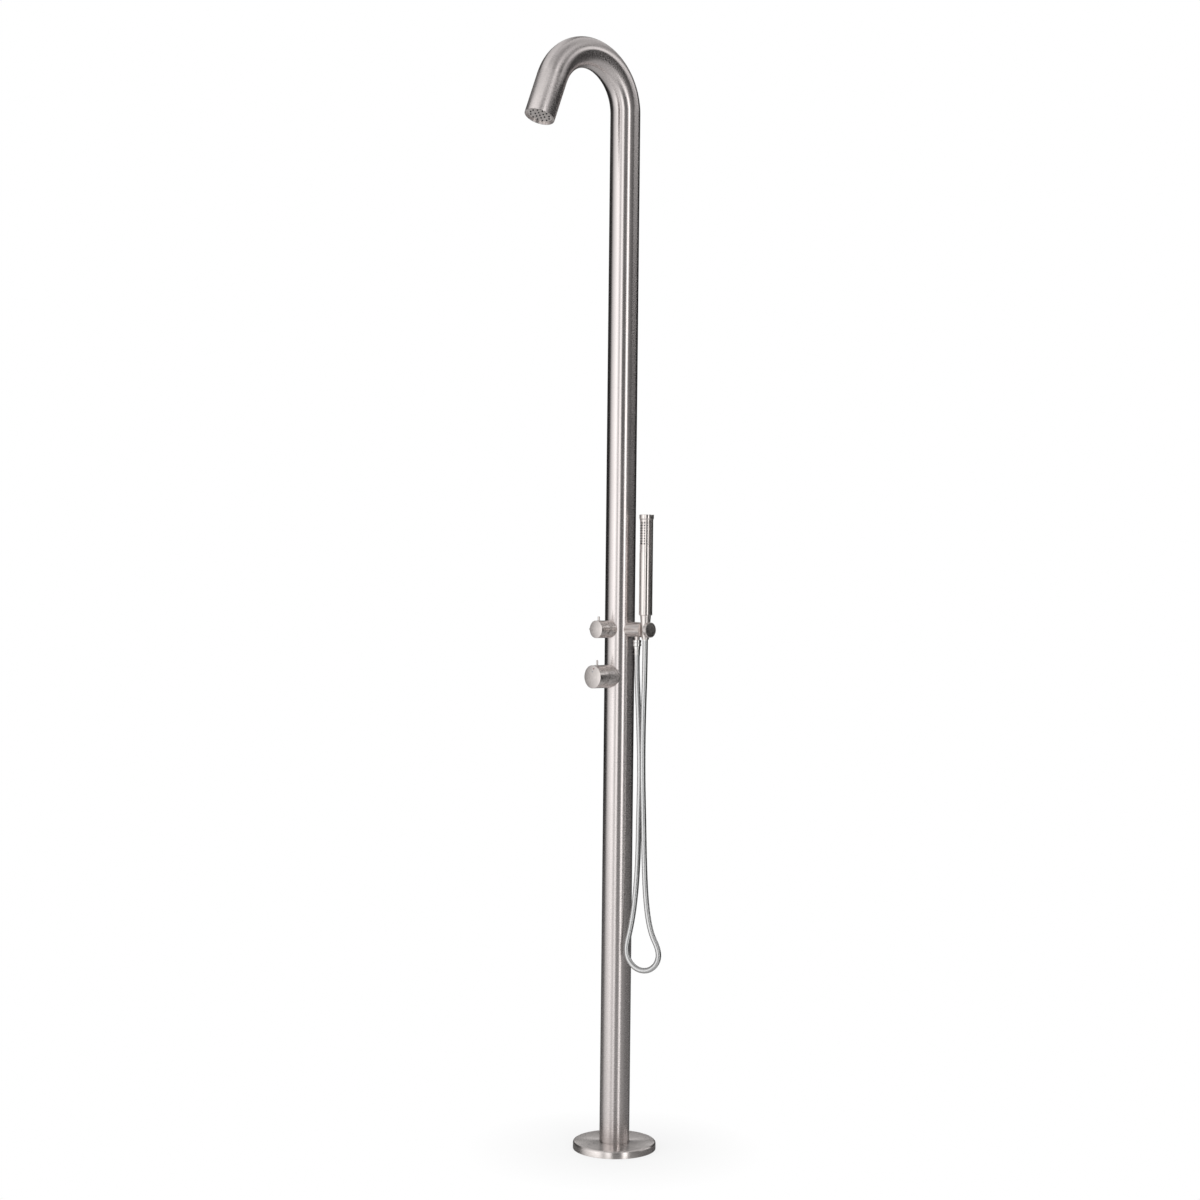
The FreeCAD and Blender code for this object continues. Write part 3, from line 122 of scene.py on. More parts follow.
class ShaderSheet:
    """The node tree of one material, or of the world, with short calls to add and join its nodes."""

    def __init__(self, name: str, world: Optional[bpy.types.World] = None) -> None:
        """Starts an empty material, or an empty world.

        Args:
            name: The material's name.
            world: The world whose nodes are made instead of a material's.
        """
        self.material = None if world else bpy.data.materials.new(name)
        holder = world or self.material
        holder.use_nodes = True
        self.tree = holder.node_tree
        self.tree.nodes.clear()
        self.output = self.add("OutputWorld" if world else "OutputMaterial")

    def add(self, kind: str, inputs: Optional[dict] = None, **settings: object) -> bpy.types.Node:
        """Adds a node.

        Args:
            kind: The node's type, after the "ShaderNode" that all of them start with.
            inputs: What its sockets get, by name or number: a value, or the socket that feeds it.
            **settings: The node's own settings.

        Returns:
            The new node.
        """
        node = self.tree.nodes.new(f"ShaderNode{kind}")
        for key, value in settings.items():
            setattr(node, key, value)
        for key, value in (inputs or {}).items():
            if isinstance(value, Socket):
                self.tree.links.new(value, node.inputs[key])
            else:
                node.inputs[key].default_value = value
        return node

    def object_place(self) -> Socket:
        """Adds the piece's Object coordinates."""
        return self.add("TexCoord").outputs["Object"]

    def math(self, operation: str, first: Socket, second: Union[Socket, float] = 0.0) -> Socket:
        """Works out one number.

        Args:
            operation: The Math node's operation.
            first: The socket it starts from.
            second: The second number, or its socket.

        Returns:
            The result's socket.
        """
        return self.add("Math", {0: first, 1: second}, operation=operation).outputs[0]

    def noise(self, where: Socket, scale: float, detail: float = 2.0, roughness: float = 0.5) -> Socket:
        """Adds a noise pattern.

        Args:
            where: The coordinates it reads.
            scale: How many blobs to a unit of them.
            detail: How many finer layers it has.
            roughness: How strong those layers are.

        Returns:
            The pattern's socket, about 0 to 1.
        """
        inputs = {"Vector": where, "Scale": scale, "Detail": detail, "Roughness": roughness}
        return self.add("TexNoise", inputs).outputs["Fac"]

    def spread(self, value: Socket, low: float, high: float, start: float = 0.3, end: float = 0.7) -> Socket:
        """Maps a range of a value to new limits. The range is a noise's middle one unless it is given.

        Args:
            value: The value.
            low: What start becomes.
            high: What end becomes.
            start: The range's low end.
            end: The range's high end.

        Returns:
            The mapped value's socket.
        """
        inputs = {"Value": value, "From Min": start, "From Max": end, "To Min": low, "To Max": high}
        return self.add("MapRange", inputs).outputs["Result"]

    def blend(
        self,
        factor: Union[Socket, float],
        first: Union[Socket, Triple],
        second: Union[Socket, Triple],
        mode: str = "MIX",
    ) -> Socket:
        """Mixes two colours.

        Args:
            factor: How much of the second one shows.
            first: The first colour, or its socket.
            second: The second colour, or its socket.
            mode: How the second one is laid over the first.

        Returns:
            The colour's socket.
        """
        ends = [end if isinstance(end, Socket) else (*end, 1.0) for end in (first, second)]
        inputs = {"Factor": factor, "A": ends[0], "B": ends[1]}
        return self.add("Mix", inputs, data_type="RGBA", blend_type=mode).outputs["Result"]

    def toned(self, pattern: Socket, colour: Triple, tints: Pair) -> Socket:
        """Makes a colour uneven.

        Args:
            pattern: The noise that it follows.
            colour: The colour.
            tints: The factors of its darkest and its lightest places.

        Returns:
            The colour's socket.
        """
        dark, light = tints
        return self.blend(self.spread(pattern, 0.0, 1.0), tinted(colour, dark), tinted(colour, light))

    def window(self, value: Socket, limits: Window) -> Socket:
        """Makes a number that is 1 inside a range of a value and 0 outside it, with soft ends.

        Args:
            value: The value.
            limits: Where it starts to rise, is 1, starts to fall and is 0 again.

        Returns:
            The number's socket.
        """
        rise = self.spread(value, 0.0, 1.0, limits[0], limits[1])
        fall = self.spread(value, 1.0, 0.0, limits[2], limits[3])
        return self.math("MULTIPLY", rise, fall)

    def bump(self, height: Socket, strength: float, distance: float) -> Socket:
        """Turns a pattern into surface relief.

        Args:
            height: The pattern.
            strength: How much of it shows.
            distance: How deep it is.

        Returns:
            The normal's socket.
        """
        inputs = {"Height": height, "Strength": strength, "Distance": distance}
        return self.add("Bump", inputs).outputs["Normal"]

    def ramp(self, share: Socket, stops: Stops, top: float) -> Socket:
        """Adds a ramp of grey tones over a range of angles.

        Args:
            share: How far through the range it is, 0 to 1.
            stops: The tones by angle in degrees, from the range's start to its end.
            top: The tone that counts as white.

        Returns:
            The ramp's colour socket.
        """
        node = self.add("ValToRGB", {0: share})
        places = node.color_ramp.elements
        start, end = stops[0][0], stops[-1][0]
        for index, (angle, value) in enumerate(stops):
            place = (angle - start) / (end - start)
            stop = places[index] if index < 2 else places.new(place)
            stop.position = place
            tone = value / top
            stop.color = (tone, tone, tone, 1.0)
        return node.outputs["Color"]

    def layered(self, share: Socket, under: Socket, over: Socket) -> Socket:
        """Lays one shader over another, as far as a share from 0 to 1 says."""
        return self.add("MixShader", {0: share, 1: under, 2: over}).outputs[0]

    def finish(self, shader: Socket) -> Optional[Material]:
        """Joins a shader to the output and gives back the material, if it is one."""
        self.tree.links.new(shader, self.output.inputs["Surface"])
        return self.material


@dataclass(frozen=True)
class Finish:
    """A finish, which makes its own material."""

    name: str
    colour: Triple

    def shader(self, sheet: ShaderSheet) -> Socket:
        """Adds the finish's nodes to a sheet and gives back its shader."""
        raise NotImplementedError

    def material(self) -> Material:
        """Builds the finish's material."""
        sheet = ShaderSheet(self.name)
        return sheet.finish(self.shader(sheet))


@dataclass(frozen=True)
class BrushedSteel(Finish):
    """Stainless steel with fine parallel marks that run round the piece.

    It reads the piece's grain map: U runs along the piece in metres and V once round it.
    """

    colour: Triple = (0.68, 0.633, 0.622)
    roughness: float = 0.27
    streaks_per_metre: float = 2600.0
    anisotropy: float = 0.97
    relief: float = 0.04
    relief_depth: float = 0.00002
    streak_wander: float = 1.2
    streak_tints: Pair = (0.95, 1.04)
    streak_roughness: float = 0.025
    clouds_per_metre: float = 9.0
    cloud_tone: Triple = (0.96, 0.955, 0.95)
    cloud_share: float = 0.5
    cloud_roughness: float = 0.02

    def shader(self, sheet: ShaderSheet) -> Socket:
        """Adds the streaks, the uneven tone and the metal to a sheet."""
        grain = sheet.add("UVMap", uv_map=GRAIN_MAP).outputs["UV"]
        parts = sheet.add("SeparateXYZ", {0: grain}).outputs
        angle = sheet.math("MULTIPLY", parts["Y"], TAU)
        place = {"X": sheet.math("MULTIPLY", parts["X"], self.streaks_per_metre)}
        for trig, axis in (("COSINE", "Y"), ("SINE", "Z")):
            place[axis] = sheet.math("MULTIPLY", sheet.math(trig, angle), self.streak_wander)
        streaks = sheet.noise(sheet.add("CombineXYZ", place).outputs[0], 1.0, detail=3.0, roughness=0.6)
        clouds = sheet.noise(sheet.object_place(), self.clouds_per_metre, detail=3.0)
        streaky = sheet.toned(streaks, self.colour, self.streak_tints)
        cloudy = sheet.blend(sheet.spread(clouds, 0.0, 1.0), self.cloud_tone, WHITE)
        smoothest = self.roughness - self.streak_roughness
        rough = sheet.spread(streaks, smoothest, self.roughness + self.streak_roughness)
        uneven = sheet.spread(clouds, -self.cloud_roughness, self.cloud_roughness)
        inputs = {
            "Metallic": 1.0,
            "Anisotropic": self.anisotropy,
            "Tangent": sheet.add("Tangent", direction_type="UV_MAP", uv_map=GRAIN_MAP).outputs[0],
            "Base Color": sheet.blend(self.cloud_share, streaky, cloudy, "MULTIPLY"),
            "Roughness": sheet.math("ADD", rough, uneven),
            "Normal": sheet.bump(streaks, self.relief, self.relief_depth),
        }
        return sheet.add("BsdfPrincipled", inputs).outputs[0]


@dataclass(frozen=True)
class Moulded(Finish):
    """Rubber, silicone, plastic or ceramic: a soft sheen over a fine skin, on Object coordinates."""

    roughness: float = 0.5
    roughness_spread: Pair = (-0.06, 0.06)
    marks_per_metre: float = 1800.0
    mark_detail: float = 2.0
    relief: float = 0.15
    relief_depth: float = 0.00003
    clouds_per_metre: float = 60.0
    tints: Pair = (0.85, 1.12)
    metallic: float = 0.0
    coat: float = 0.0

    def shader(self, sheet: ShaderSheet) -> Socket:
        """Adds the skin and the uneven tone to a sheet."""
        place = sheet.object_place()
        marks = sheet.noise(place, self.marks_per_metre, self.mark_detail)
        clouds = sheet.noise(place, self.clouds_per_metre)
        smoothest, roughest = (self.roughness + change for change in self.roughness_spread)
        inputs = {
            "Metallic": self.metallic,
            "Coat Weight": self.coat,
            "Base Color": sheet.toned(clouds, self.colour, self.tints),
            "Roughness": sheet.spread(marks, smoothest, roughest),
            "Normal": sheet.bump(marks, self.relief, self.relief_depth),
        }
        return sheet.add("BsdfPrincipled", inputs).outputs[0]


@dataclass(frozen=True)
class MachinedMetal(Moulded):
    """Plain bright metal with faint tool marks and a slightly uneven tone, on Object coordinates."""

    roughness: float = 0.28
    roughness_spread: Pair = (-0.05, 0.07)
    marks_per_metre: float = 900.0
    mark_detail: float = 3.0
    relief: float = 0.08
    clouds_per_metre: float = 35.0
    tints: Pair = (0.92, 1.05)
    metallic: float = 1.0


@dataclass(frozen=True)
class BraidedSheath(Finish):
    """Crossed steel wires round a rubber hose, on Object coordinates."""

    colour: Triple = (0.55, 0.55, 0.55)
    metallic: float = 0.9
    roughness: float = 0.35
    wires_per_metre: float = 420.0
    wire_tilt: float = 0.9
    wire_unevenness: float = 0.4
    gap_tint: float = 0.35
    relief: float = 0.6
    relief_depth: float = 0.0003

    def shader(self, sheet: ShaderSheet) -> Socket:
        """Adds the wires to a sheet."""
        place = sheet.object_place()
        lays = []
        for tilt in (self.wire_tilt, -self.wire_tilt):
            turned = sheet.add("Mapping", {"Vector": place, "Rotation": (0.0, tilt, 0.0)}).outputs[0]
            inputs = {"Vector": turned, "Scale": self.wires_per_metre, "Distortion": self.wire_unevenness}
            wave = sheet.add("TexWave", inputs, wave_type="BANDS", bands_direction="Z")
            lays.append(wave.outputs["Fac"])
        wires = sheet.math("MAXIMUM", *lays)
        inputs = {
            "Metallic": self.metallic,
            "Roughness": self.roughness,
            "Base Color": sheet.blend(wires, tinted(self.colour, self.gap_tint), self.colour),
            "Normal": sheet.bump(wires, self.relief, self.relief_depth),
        }
        return sheet.add("BsdfPrincipled", inputs).outputs[0]


FINISHES: dict[Slot, Finish] = {
    Slot.POST: BrushedSteel("post brushed steel"),
    Slot.COVER: BrushedSteel("cover turned steel", (0.72, 0.672, 0.65), 0.27, 3400.0, anisotropy=0.94),
    Slot.TURNED: BrushedSteel("knob turned steel", (0.70, 0.652, 0.63), 0.25, 5200.0, anisotropy=0.9),
    Slot.HOSE: BrushedSteel("hose spiral steel", (0.56, 0.56, 0.56), 0.14, anisotropy=0.2, relief=0.03),
    Slot.FITTING: MachinedMetal("fitting steel", (0.70, 0.69, 0.675), 0.12, relief=0.02),
    Slot.PLATE: MachinedMetal("plate steel", (0.55, 0.54, 0.53), 0.4, marks_per_metre=300.0),
    Slot.BRASS: MachinedMetal("valve brass", (0.72, 0.56, 0.30)),
    Slot.CARTRIDGE: Moulded("cartridge plastic", (0.80, 0.80, 0.78), 0.45),
    Slot.CERAMIC: Moulded("disc ceramic", (0.90, 0.89, 0.87), 0.15, relief=0.02),
    Slot.SEAL: Moulded("seal rubber", (0.025, 0.025, 0.027), 0.55),
    Slot.NOZZLE: Moulded("nozzle silicone", (0.018, 0.018, 0.02), 0.42),
    Slot.BRAID: BraidedSheath("hose braid"),
}


# ---- Mesh tools ---------------------------------------------------------------------------------------
def axis_towards(origin: Sequence[float], along: Sequence[float], out: Sequence[float]) -> Matrix:
    """Makes the axis that a turned piece is drawn about, as a place in the post's frame.

    Args:
        origin: Where distance along the axis is nought.
        along: The direction of the axis.
        out: The direction that angle nought points in, square to the axis.

    Returns:
        The axis, which takes the world's Z axis to its own line.
    """
    z, x = Vector(along).normalized(), Vector(out).normalized()
    turn = Matrix((x, z.cross(x), z)).transposed()
    return Matrix.Translation(Vector(origin)) @ turn.to_4x4()


def front_axis(height: float, x: float = 0.0) -> Matrix:
    """The axis of something that points to the front from the post's middle, or from beside it."""
    return axis_towards((x, 0, height), FRONT, DOWN)


def upright_axis(x: float = 0.0) -> Matrix:
    """An upright axis in the post's middle, or beside it. Its seam faces the back."""
    return axis_towards((x, 0, 0), UP, BACK)


def sharp_edges(mesh: Mesh, degrees: float) -> list[bmesh.types.BMEdge]:
    """The edges whose two faces meet at more than an angle."""
    limit = math.radians(degrees)
    return [e for e in mesh.edges if len(e.link_faces) == 2 and e.calc_face_angle(0.0) > limit]


def of_kind(parts: Iterable[object], kind: type) -> list:
    """The parts of an operator's result that are of one kind."""
    return [part for part in parts if isinstance(part, kind)]


def bevel_edges(mesh: Mesh, edges: Iterable[bmesh.types.BMEdge], size: float, segments: int = 2) -> None:
    """Rounds edges of a mesh.

    Args:
        mesh: The mesh.
        edges: Its edges to round.
        size: How far back the rounding starts.
        segments: How many steps it has.
    """
    bmesh.ops.bevel(
        mesh,
        geom=list(edges),
        offset=size,
        offset_type="OFFSET",
        segments=segments,
        profile=0.5,
        affect="EDGES",
        clamp_overlap=True,
        material=-1,
    )


def spun(
    profile: Profile, segments: int = 96, bevel: float = 0.0, bevel_segments: int = 2, closed: bool = False
) -> Mesh:
    """Turns a profile of (radius, distance along) points about +Z into a closed skin.

    Args:
        profile: The points, from one end of the skin to the other.
        segments: How many flats round it.
        bevel: How far its sharp edges are rounded back, or nought.
        bevel_segments: How many steps each rounded edge has.
        closed: Whether the profile's last point joins its first, as for a ring.

    Returns:
        The mesh, about the world's Z axis.
    """
    mesh = bmesh.new()
    points = [mesh.verts.new((r, 0.0, z)) for r, z in profile]
    pairs = list(zip(points, points[1:])) + ([(points[-1], points[0])] if closed else [])
    outline = points + [mesh.edges.new(pair) for pair in pairs]
    bmesh.ops.spin(mesh, geom=outline, cent=(0, 0, 0), axis=UP, angle=TAU, steps=segments, use_merge=True)
    bmesh.ops.remove_doubles(mesh, verts=mesh.verts, dist=MERGE_DISTANCE)
    bmesh.ops.recalc_face_normals(mesh, faces=mesh.faces)
    if bevel:
        bevel_edges(mesh, sharp_edges(mesh, CORNER_DEGREES), bevel, bevel_segments)
    return mesh


def merged(target: Mesh, added: Mesh) -> None:
    """Adds one mesh to another and frees it."""
    carrier = bpy.data.meshes.new("carrier")
    added.to_mesh(carrier)
    added.free()
    target.from_mesh(carrier)
    bpy.data.meshes.remove(carrier)


def copied(node: str) -> Mesh:
    """A merged copy of a CAD node's mesh, with its flat faces made whole."""
    mesh = bmesh.new()
    mesh.from_mesh(frame["nodes"][node].data)
    bmesh.ops.remove_doubles(mesh, verts=mesh.verts, dist=MERGE_DISTANCE)
    bmesh.ops.dissolve_limit(
        mesh,
        angle_limit=math.radians(FLAT_DEGREES),
        verts=mesh.verts,
        edges=mesh.edges,
        use_dissolve_boundaries=False,
    )
    return mesh


def lay_grain(mesh: Mesh, axis: Matrix) -> None:
    """Gives a turned mesh its grain map: U along the surface from end to end, V round the axis.

    Args:
        mesh: The mesh, in place.
        axis: What it turns about.
    """
    layer = mesh.loops.layers.uv.get(GRAIN_MAP) or mesh.loops.layers.uv.new(GRAIN_MAP)
    inverse = axis.inverted()
    for face in mesh.faces:
        centre = inverse @ face.calc_center_median()
        is_end = abs((inverse.to_3x3() @ face.normal).z) > END_FACING
        middle = math.atan2(centre.y, centre.x)
        for loop in face.loops:
            local = inverse @ loop.vert.co
            radius = math.hypot(local.x, local.y)
            angle = math.atan2(local.y, local.x) if radius > MERGE_DISTANCE else middle
            angle = middle + math.remainder(angle - middle, TAU)
            loop[layer].uv = (radius if is_end else local.z, angle / TAU)


class Maker:
    """Turns finished meshes into pieces that ride on the CAD's bodies."""

    def __init__(self) -> None:
        """Makes each slot's material once."""
        self.materials = {slot: finish.material() for slot, finish in FINISHES.items()}

    def dress_cad_nodes(self) -> None:
        """Gives each CAD node its slot's material, or fitting steel where that one needs a grain map."""
        slots = {part["node"]: Slot(part["material_slot"]) for part in frame["record"]["subparts"]}
        for name, node in frame["nodes"].items():
            brushed = isinstance(FINISHES[slots[name]], BrushedSteel)
            material = self.materials[Slot.FITTING if brushed else slots[name]]
            node.data.materials.clear()
            node.data.materials.append(material)
            log.info("%s keeps its CAD shape in %s", name, material.name)

    def piece(
        self,
        name: str,
        mesh: Mesh,
        slot: Slot,
        body: Body,
        replaces: Sequence[str] = (),
        smooth_to: float = 38.0,
        finish: Optional[Material] = None,
        grain: Optional[Matrix] = None,
    ) -> Piece:
        """Makes a piece from a mesh that is in place, and frees the mesh.

        Args:
            name: The piece's name.
            mesh: Its mesh, in the post's frame.
            slot: The record's slot that it belongs to.
            body: The body that it rides on.
            replaces: The CAD nodes that it stands for.
            smooth_to: Edges up to this many degrees are shaded smooth.
            finish: Its material, or None for its slot's.
            grain: The axis that its grain map is laid round, or None where it has its own or none.

        Returns:
            The piece.
        """
        if grain:
            lay_grain(mesh, grain)
        data = bpy.data.meshes.new(name)
        mesh.to_mesh(data)
        mesh.free()
        data.materials.append(finish or self.materials[slot])
        data.shade_smooth()
        data.set_sharp_from_angle(angle=math.radians(smooth_to))
        piece = bpy.data.objects.new(name, data)
        bpy.context.scene.collection.objects.link(piece)
        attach(piece, body.value)
        if replaces:
            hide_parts(*replaces)
        log.info("%s rides on %s", name, body.value)
        return piece

    def turned(
        self,
        name: str,
        axis: Matrix,
        profile: Profile,
        slot: Slot,
        body: Body,
        replaces: Sequence[str],
        finish: Optional[Material] = None,
        **shape: object,
    ) -> Piece:
        """Makes a turned piece with its grain map.

        Args:
            name: The piece's name.
            axis: What it turns about.
            profile: Its (radius, distance along) points.
            slot: The record's slot that it belongs to.
            body: The body that it rides on.
            replaces: The CAD nodes that it stands for.
            finish: Its material, or None for its slot's.
            **shape: What else spun is given.

        Returns:
            The piece.
        """
        mesh = spun(profile, **shape)
        mesh.transform(axis)
        return self.piece(name, mesh, slot, body, replaces, finish=finish, grain=axis)


# ---- Post and foot ------------------------------------------------------------------------------------
@dataclass
class BentPost:
    """The tube, bent over at the top."""

    maker: Maker
    radius: float = POST_RADIUS
    wall: float = 0.002
    rim_edge: float = 0.0003
    bend_start: float = 2.071
    bend_radius: float = 0.104
    bend_degrees: float = 158.5
    mouth_straight: float = 0.086
    flats: int = 128
    bend_steps: int = 96

    @property
    def bend_centre(self) -> Vector:
        """The point that the bend turns about."""
        return Vector((0.0, -self.bend_radius, self.bend_start))

    @property
    def mouth(self) -> Matrix:
        """The mouth's axis, pointing the way the water leaves, from the centre of the rim."""
        turn = Matrix.Rotation(math.radians(self.bend_degrees), 4, "X")
        end = self.bend_centre + turn @ Vector((0.0, self.bend_radius, 0.0))
        along = turn @ Vector(UP)
        return axis_towards(end + along * self.mouth_straight, along, turn @ Vector(BACK))

    def length_at(self, point: Vector) -> float:
        """How far along the tube's centreline a point of its surface is."""
        arm = point - self.bend_centre
        angle = math.atan2(arm.z, arm.y)
        full = math.radians(self.bend_degrees)
        if arm.z <= 0.0 and point.y > -self.bend_radius:
            return point.z
        if 0.0 <= angle <= full:
            return self.bend_start + self.bend_radius * angle
        past_rim = (self.mouth.inverted() @ point).z
        return self.bend_start + self.bend_radius * full + self.mouth_straight + past_rim

    def turns_at(self, point: Vector) -> float:
        """How far round the tube a point of its surface is, in turns from the back."""
        arm = point - self.bend_centre
        angle = min(max(math.atan2(arm.z, arm.y), 0.0), math.radians(self.bend_degrees))
        if arm.z <= 0.0 and point.y > -self.bend_radius:
            angle = 0.0
        local = Matrix.Rotation(-angle, 3, "X") @ arm
        return math.atan2(point.x, local.y - self.bend_radius) / TAU

    def skin(self) -> Mesh:
        """Draws the tube's wall with a rounded rim."""
        mesh = bmesh.new()
        bmesh.ops.create_circle(mesh, segments=self.flats, radius=self.radius)
        upright = bmesh.ops.extrude_edge_only(mesh, edges=list(mesh.edges))["geom"]
        top = of_kind(upright, bmesh.types.BMVert)
        bmesh.ops.translate(mesh, verts=top, vec=(0, 0, self.bend_start))
        ring = [e for e in of_kind(upright, bmesh.types.BMEdge) if all(v in top for v in e.verts)]
        bend = bmesh.ops.spin(
            mesh,
            geom=top + ring,
            cent=self.bend_centre,
            axis=RIGHT,
            angle=math.radians(self.bend_degrees),
            steps=self.bend_steps,
        )["geom_last"]
        end = bmesh.ops.extrude_edge_only(mesh, edges=of_kind(bend, bmesh.types.BMEdge))["geom"]
        way = self.mouth.to_3x3() @ Vector(UP)
        tip = of_kind(end, bmesh.types.BMVert)
        bmesh.ops.translate(mesh, verts=tip, vec=way * self.mouth_straight)
        bmesh.ops.remove_doubles(mesh, verts=mesh.verts, dist=MERGE_DISTANCE)
        bmesh.ops.recalc_face_normals(mesh, faces=mesh.faces)
        bmesh.ops.solidify(mesh, geom=list(mesh.faces), thickness=self.wall)
        bmesh.ops.recalc_face_normals(mesh, faces=mesh.faces)
        bevel_edges(mesh, sharp_edges(mesh, STEEP_CORNER_DEGREES), self.rim_edge)
        return mesh

    def build(self) -> None:
        """Builds the tube with a grain map that follows its bend."""
        mesh = self.skin()
        layer = mesh.loops.layers.uv.new(GRAIN_MAP)
        for face in mesh.faces:
            middle = self.turns_at(face.calc_center_median())
            for loop in face.loops:
                turns = middle + math.remainder(self.turns_at(loop.vert.co) - middle, 1.0)
                loop[layer].uv = (self.length_at(loop.vert.co), turns)
        self.maker.piece("bent_tube", mesh, Slot.POST, Body.POST, ["post_tube"])


@dataclass
class Foot:
    """The cover that slides on the post, over the floor plate."""

    maker: Maker
    radius: float = 0.083
    height: float = 0.015
    wall: float = 0.0015
    rim: float = 0.0003
    hole: float = 0.0303
    collar: float = 0.0345
    collar_bottom: float = 0.0096
    edge: float = 0.0004
    shoulder: float = 0.0040
    shoulder_steps: int = 8

    def rounded(self, radius: float) -> list[Pair]:
        """Points round the cover's shoulder, from its flat top to its upright edge.

        Args:
            radius: How far the points are from the middle of the rounding.

        Returns:
            The points.
        """
        middle, level = self.radius - self.shoulder, self.height - self.shoulder
        angles = [math.pi / 2 * step / self.shoulder_steps for step in range(self.shoulder_steps + 1)]
        return [(middle + radius * math.sin(a), level + radius * math.cos(a)) for a in angles]

    def build(self) -> None:
        """Builds the cover."""
        profile = [
            (self.hole, self.collar_bottom),
            (self.hole, self.height),
            *self.rounded(self.shoulder),
            (self.radius, self.rim),
            (self.radius - self.wall, self.rim),
            *reversed(self.rounded(self.shoulder - self.wall)),
            (self.collar, self.height - self.wall),
            (self.collar, self.collar_bottom),
        ]
        shape = {"segments": 160, "bevel": self.edge, "bevel_segments": 3, "closed": True}
        self.maker.turned(
            "cover_pan", upright_axis(), profile, Slot.COVER, Body.COVER, ["foot_cover"], **shape
        )


# ---- Valves -------------------------------------------------------------------------------------------
@dataclass(frozen=True)
class FaceMark:
    """A small round enamel mark on a knob's face, placed from the face's middle."""

    name: str
    across: float
    up: float
    radius: float
    finish: Finish


@dataclass
class ValveControl:
    """One valve as it shows: the boss on the post, the knob, its pins and its marks."""

    maker: Maker
    name: str
    body: Body
    height: float
    radius: float
    boss_end: float
    seat_radius: float
    seat_depth: float
    bore_radius: float
    knob_end: float
    pin_radius: float
    pin_proud: float
    pin_root: float
    pin_from_face: float
    pin_directions: tuple[Triple, ...]
    pin_tip_share: float = 0.45
    marks: tuple[FaceMark, ...] = ()
    mark_sunk: float = 0.0003
    mark_proud: float = 0.00006
    gap: float = 0.0006
    edge: float = 0.0004
    saddle_lift: float = 0.00002
    saddle_reach: float = POST_RADIUS * 0.7
    root: float = POST_RADIUS * 0.5
    flats: int = 128
    small_flats: int = 32

    def build(self) -> None:
        """Builds the valve's pieces."""
        self.build_boss()
        start = self.boss_end + self.gap
        knob = [(0.0, start), (self.radius, start), (self.radius, self.knob_end), (0.0, self.knob_end)]
        shape = {"segments": self.flats, "bevel": self.edge, "bevel_segments": 3}
        self.maker.turned(
            f"{self.name}_turned_knob",
            front_axis(self.height),
            knob,
            Slot.TURNED,
            self.body,
            [f"{self.name}_knob"],
            **shape,
        )
        self.build_pins()
        self.build_marks()

    def build_boss(self) -> None:
        """Builds the boss, with its inner end on the post's surface."""
        seat_floor = self.boss_end - self.seat_depth
        profile = [
            (self.radius, self.root),
            (self.radius, self.boss_end),
            (self.seat_radius, self.boss_end),
            (self.seat_radius, seat_floor),
            (self.bore_radius, seat_floor),
            (self.bore_radius, self.root),
        ]
        mesh = spun(profile, self.flats, closed=True)
        face_level = self.boss_end - LEVEL_MARGIN
        corners = sharp_edges(mesh, CORNER_DEGREES)
        rims = [e for e in corners if min(v.co.z for v in e.verts) > face_level]
        bevel_edges(mesh, rims, self.edge / 2)
        mesh.transform(front_axis(self.height))
        for vert in mesh.verts:
            if -vert.co.y < self.saddle_reach:
                reach = (POST_RADIUS + self.saddle_lift) ** 2 - vert.co.x ** 2
                vert.co.y = -math.sqrt(max(reach, 0.0))
        self.maker.piece(
            f"{self.name}_boss_sleeve",
            mesh,
            Slot.TURNED,
            Body.POST,
            [f"{self.name}_boss"],
            grain=front_axis(self.height),
        )

    def build_pins(self) -> None:
        """Builds the pins, each with a rounded tip."""
        mesh = bmesh.new()
        along = self.pin_from_face - self.knob_end
        tip = self.radius + self.pin_proud
        profile = [(0.0, self.pin_root), (self.pin_radius, self.pin_root), (self.pin_radius, tip), (0.0, tip)]
        for direction in self.pin_directions:
            axis = axis_towards((0, along, self.height), direction, FRONT)
            pin = spun(profile, self.small_flats, self.pin_radius * self.pin_tip_share, bevel_segments=4)
            pin.transform(axis)
            lay_grain(pin, axis)
            merged(mesh, pin)
        self.maker.piece(
            f"{self.name}_turning_pin", mesh, Slot.TURNED, self.body, [f"{self.name}_knob_pin"]
        )

    def build_marks(self) -> None:
        """Builds the enamel marks let into the knob's face."""
        back, front = self.knob_end - self.mark_sunk, self.knob_end + self.mark_proud
        for mark in self.marks:
            profile = [(0.0, back), (mark.radius, back), (mark.radius, front), (0.0, front)]
            mesh = spun(profile, self.small_flats)
            mesh.transform(front_axis(self.height + mark.up, mark.across))
            name = f"{self.name}_{mark.name}"
            self.maker.piece(name, mesh, Slot.CARTRIDGE, self.body, finish=mark.finish.material())


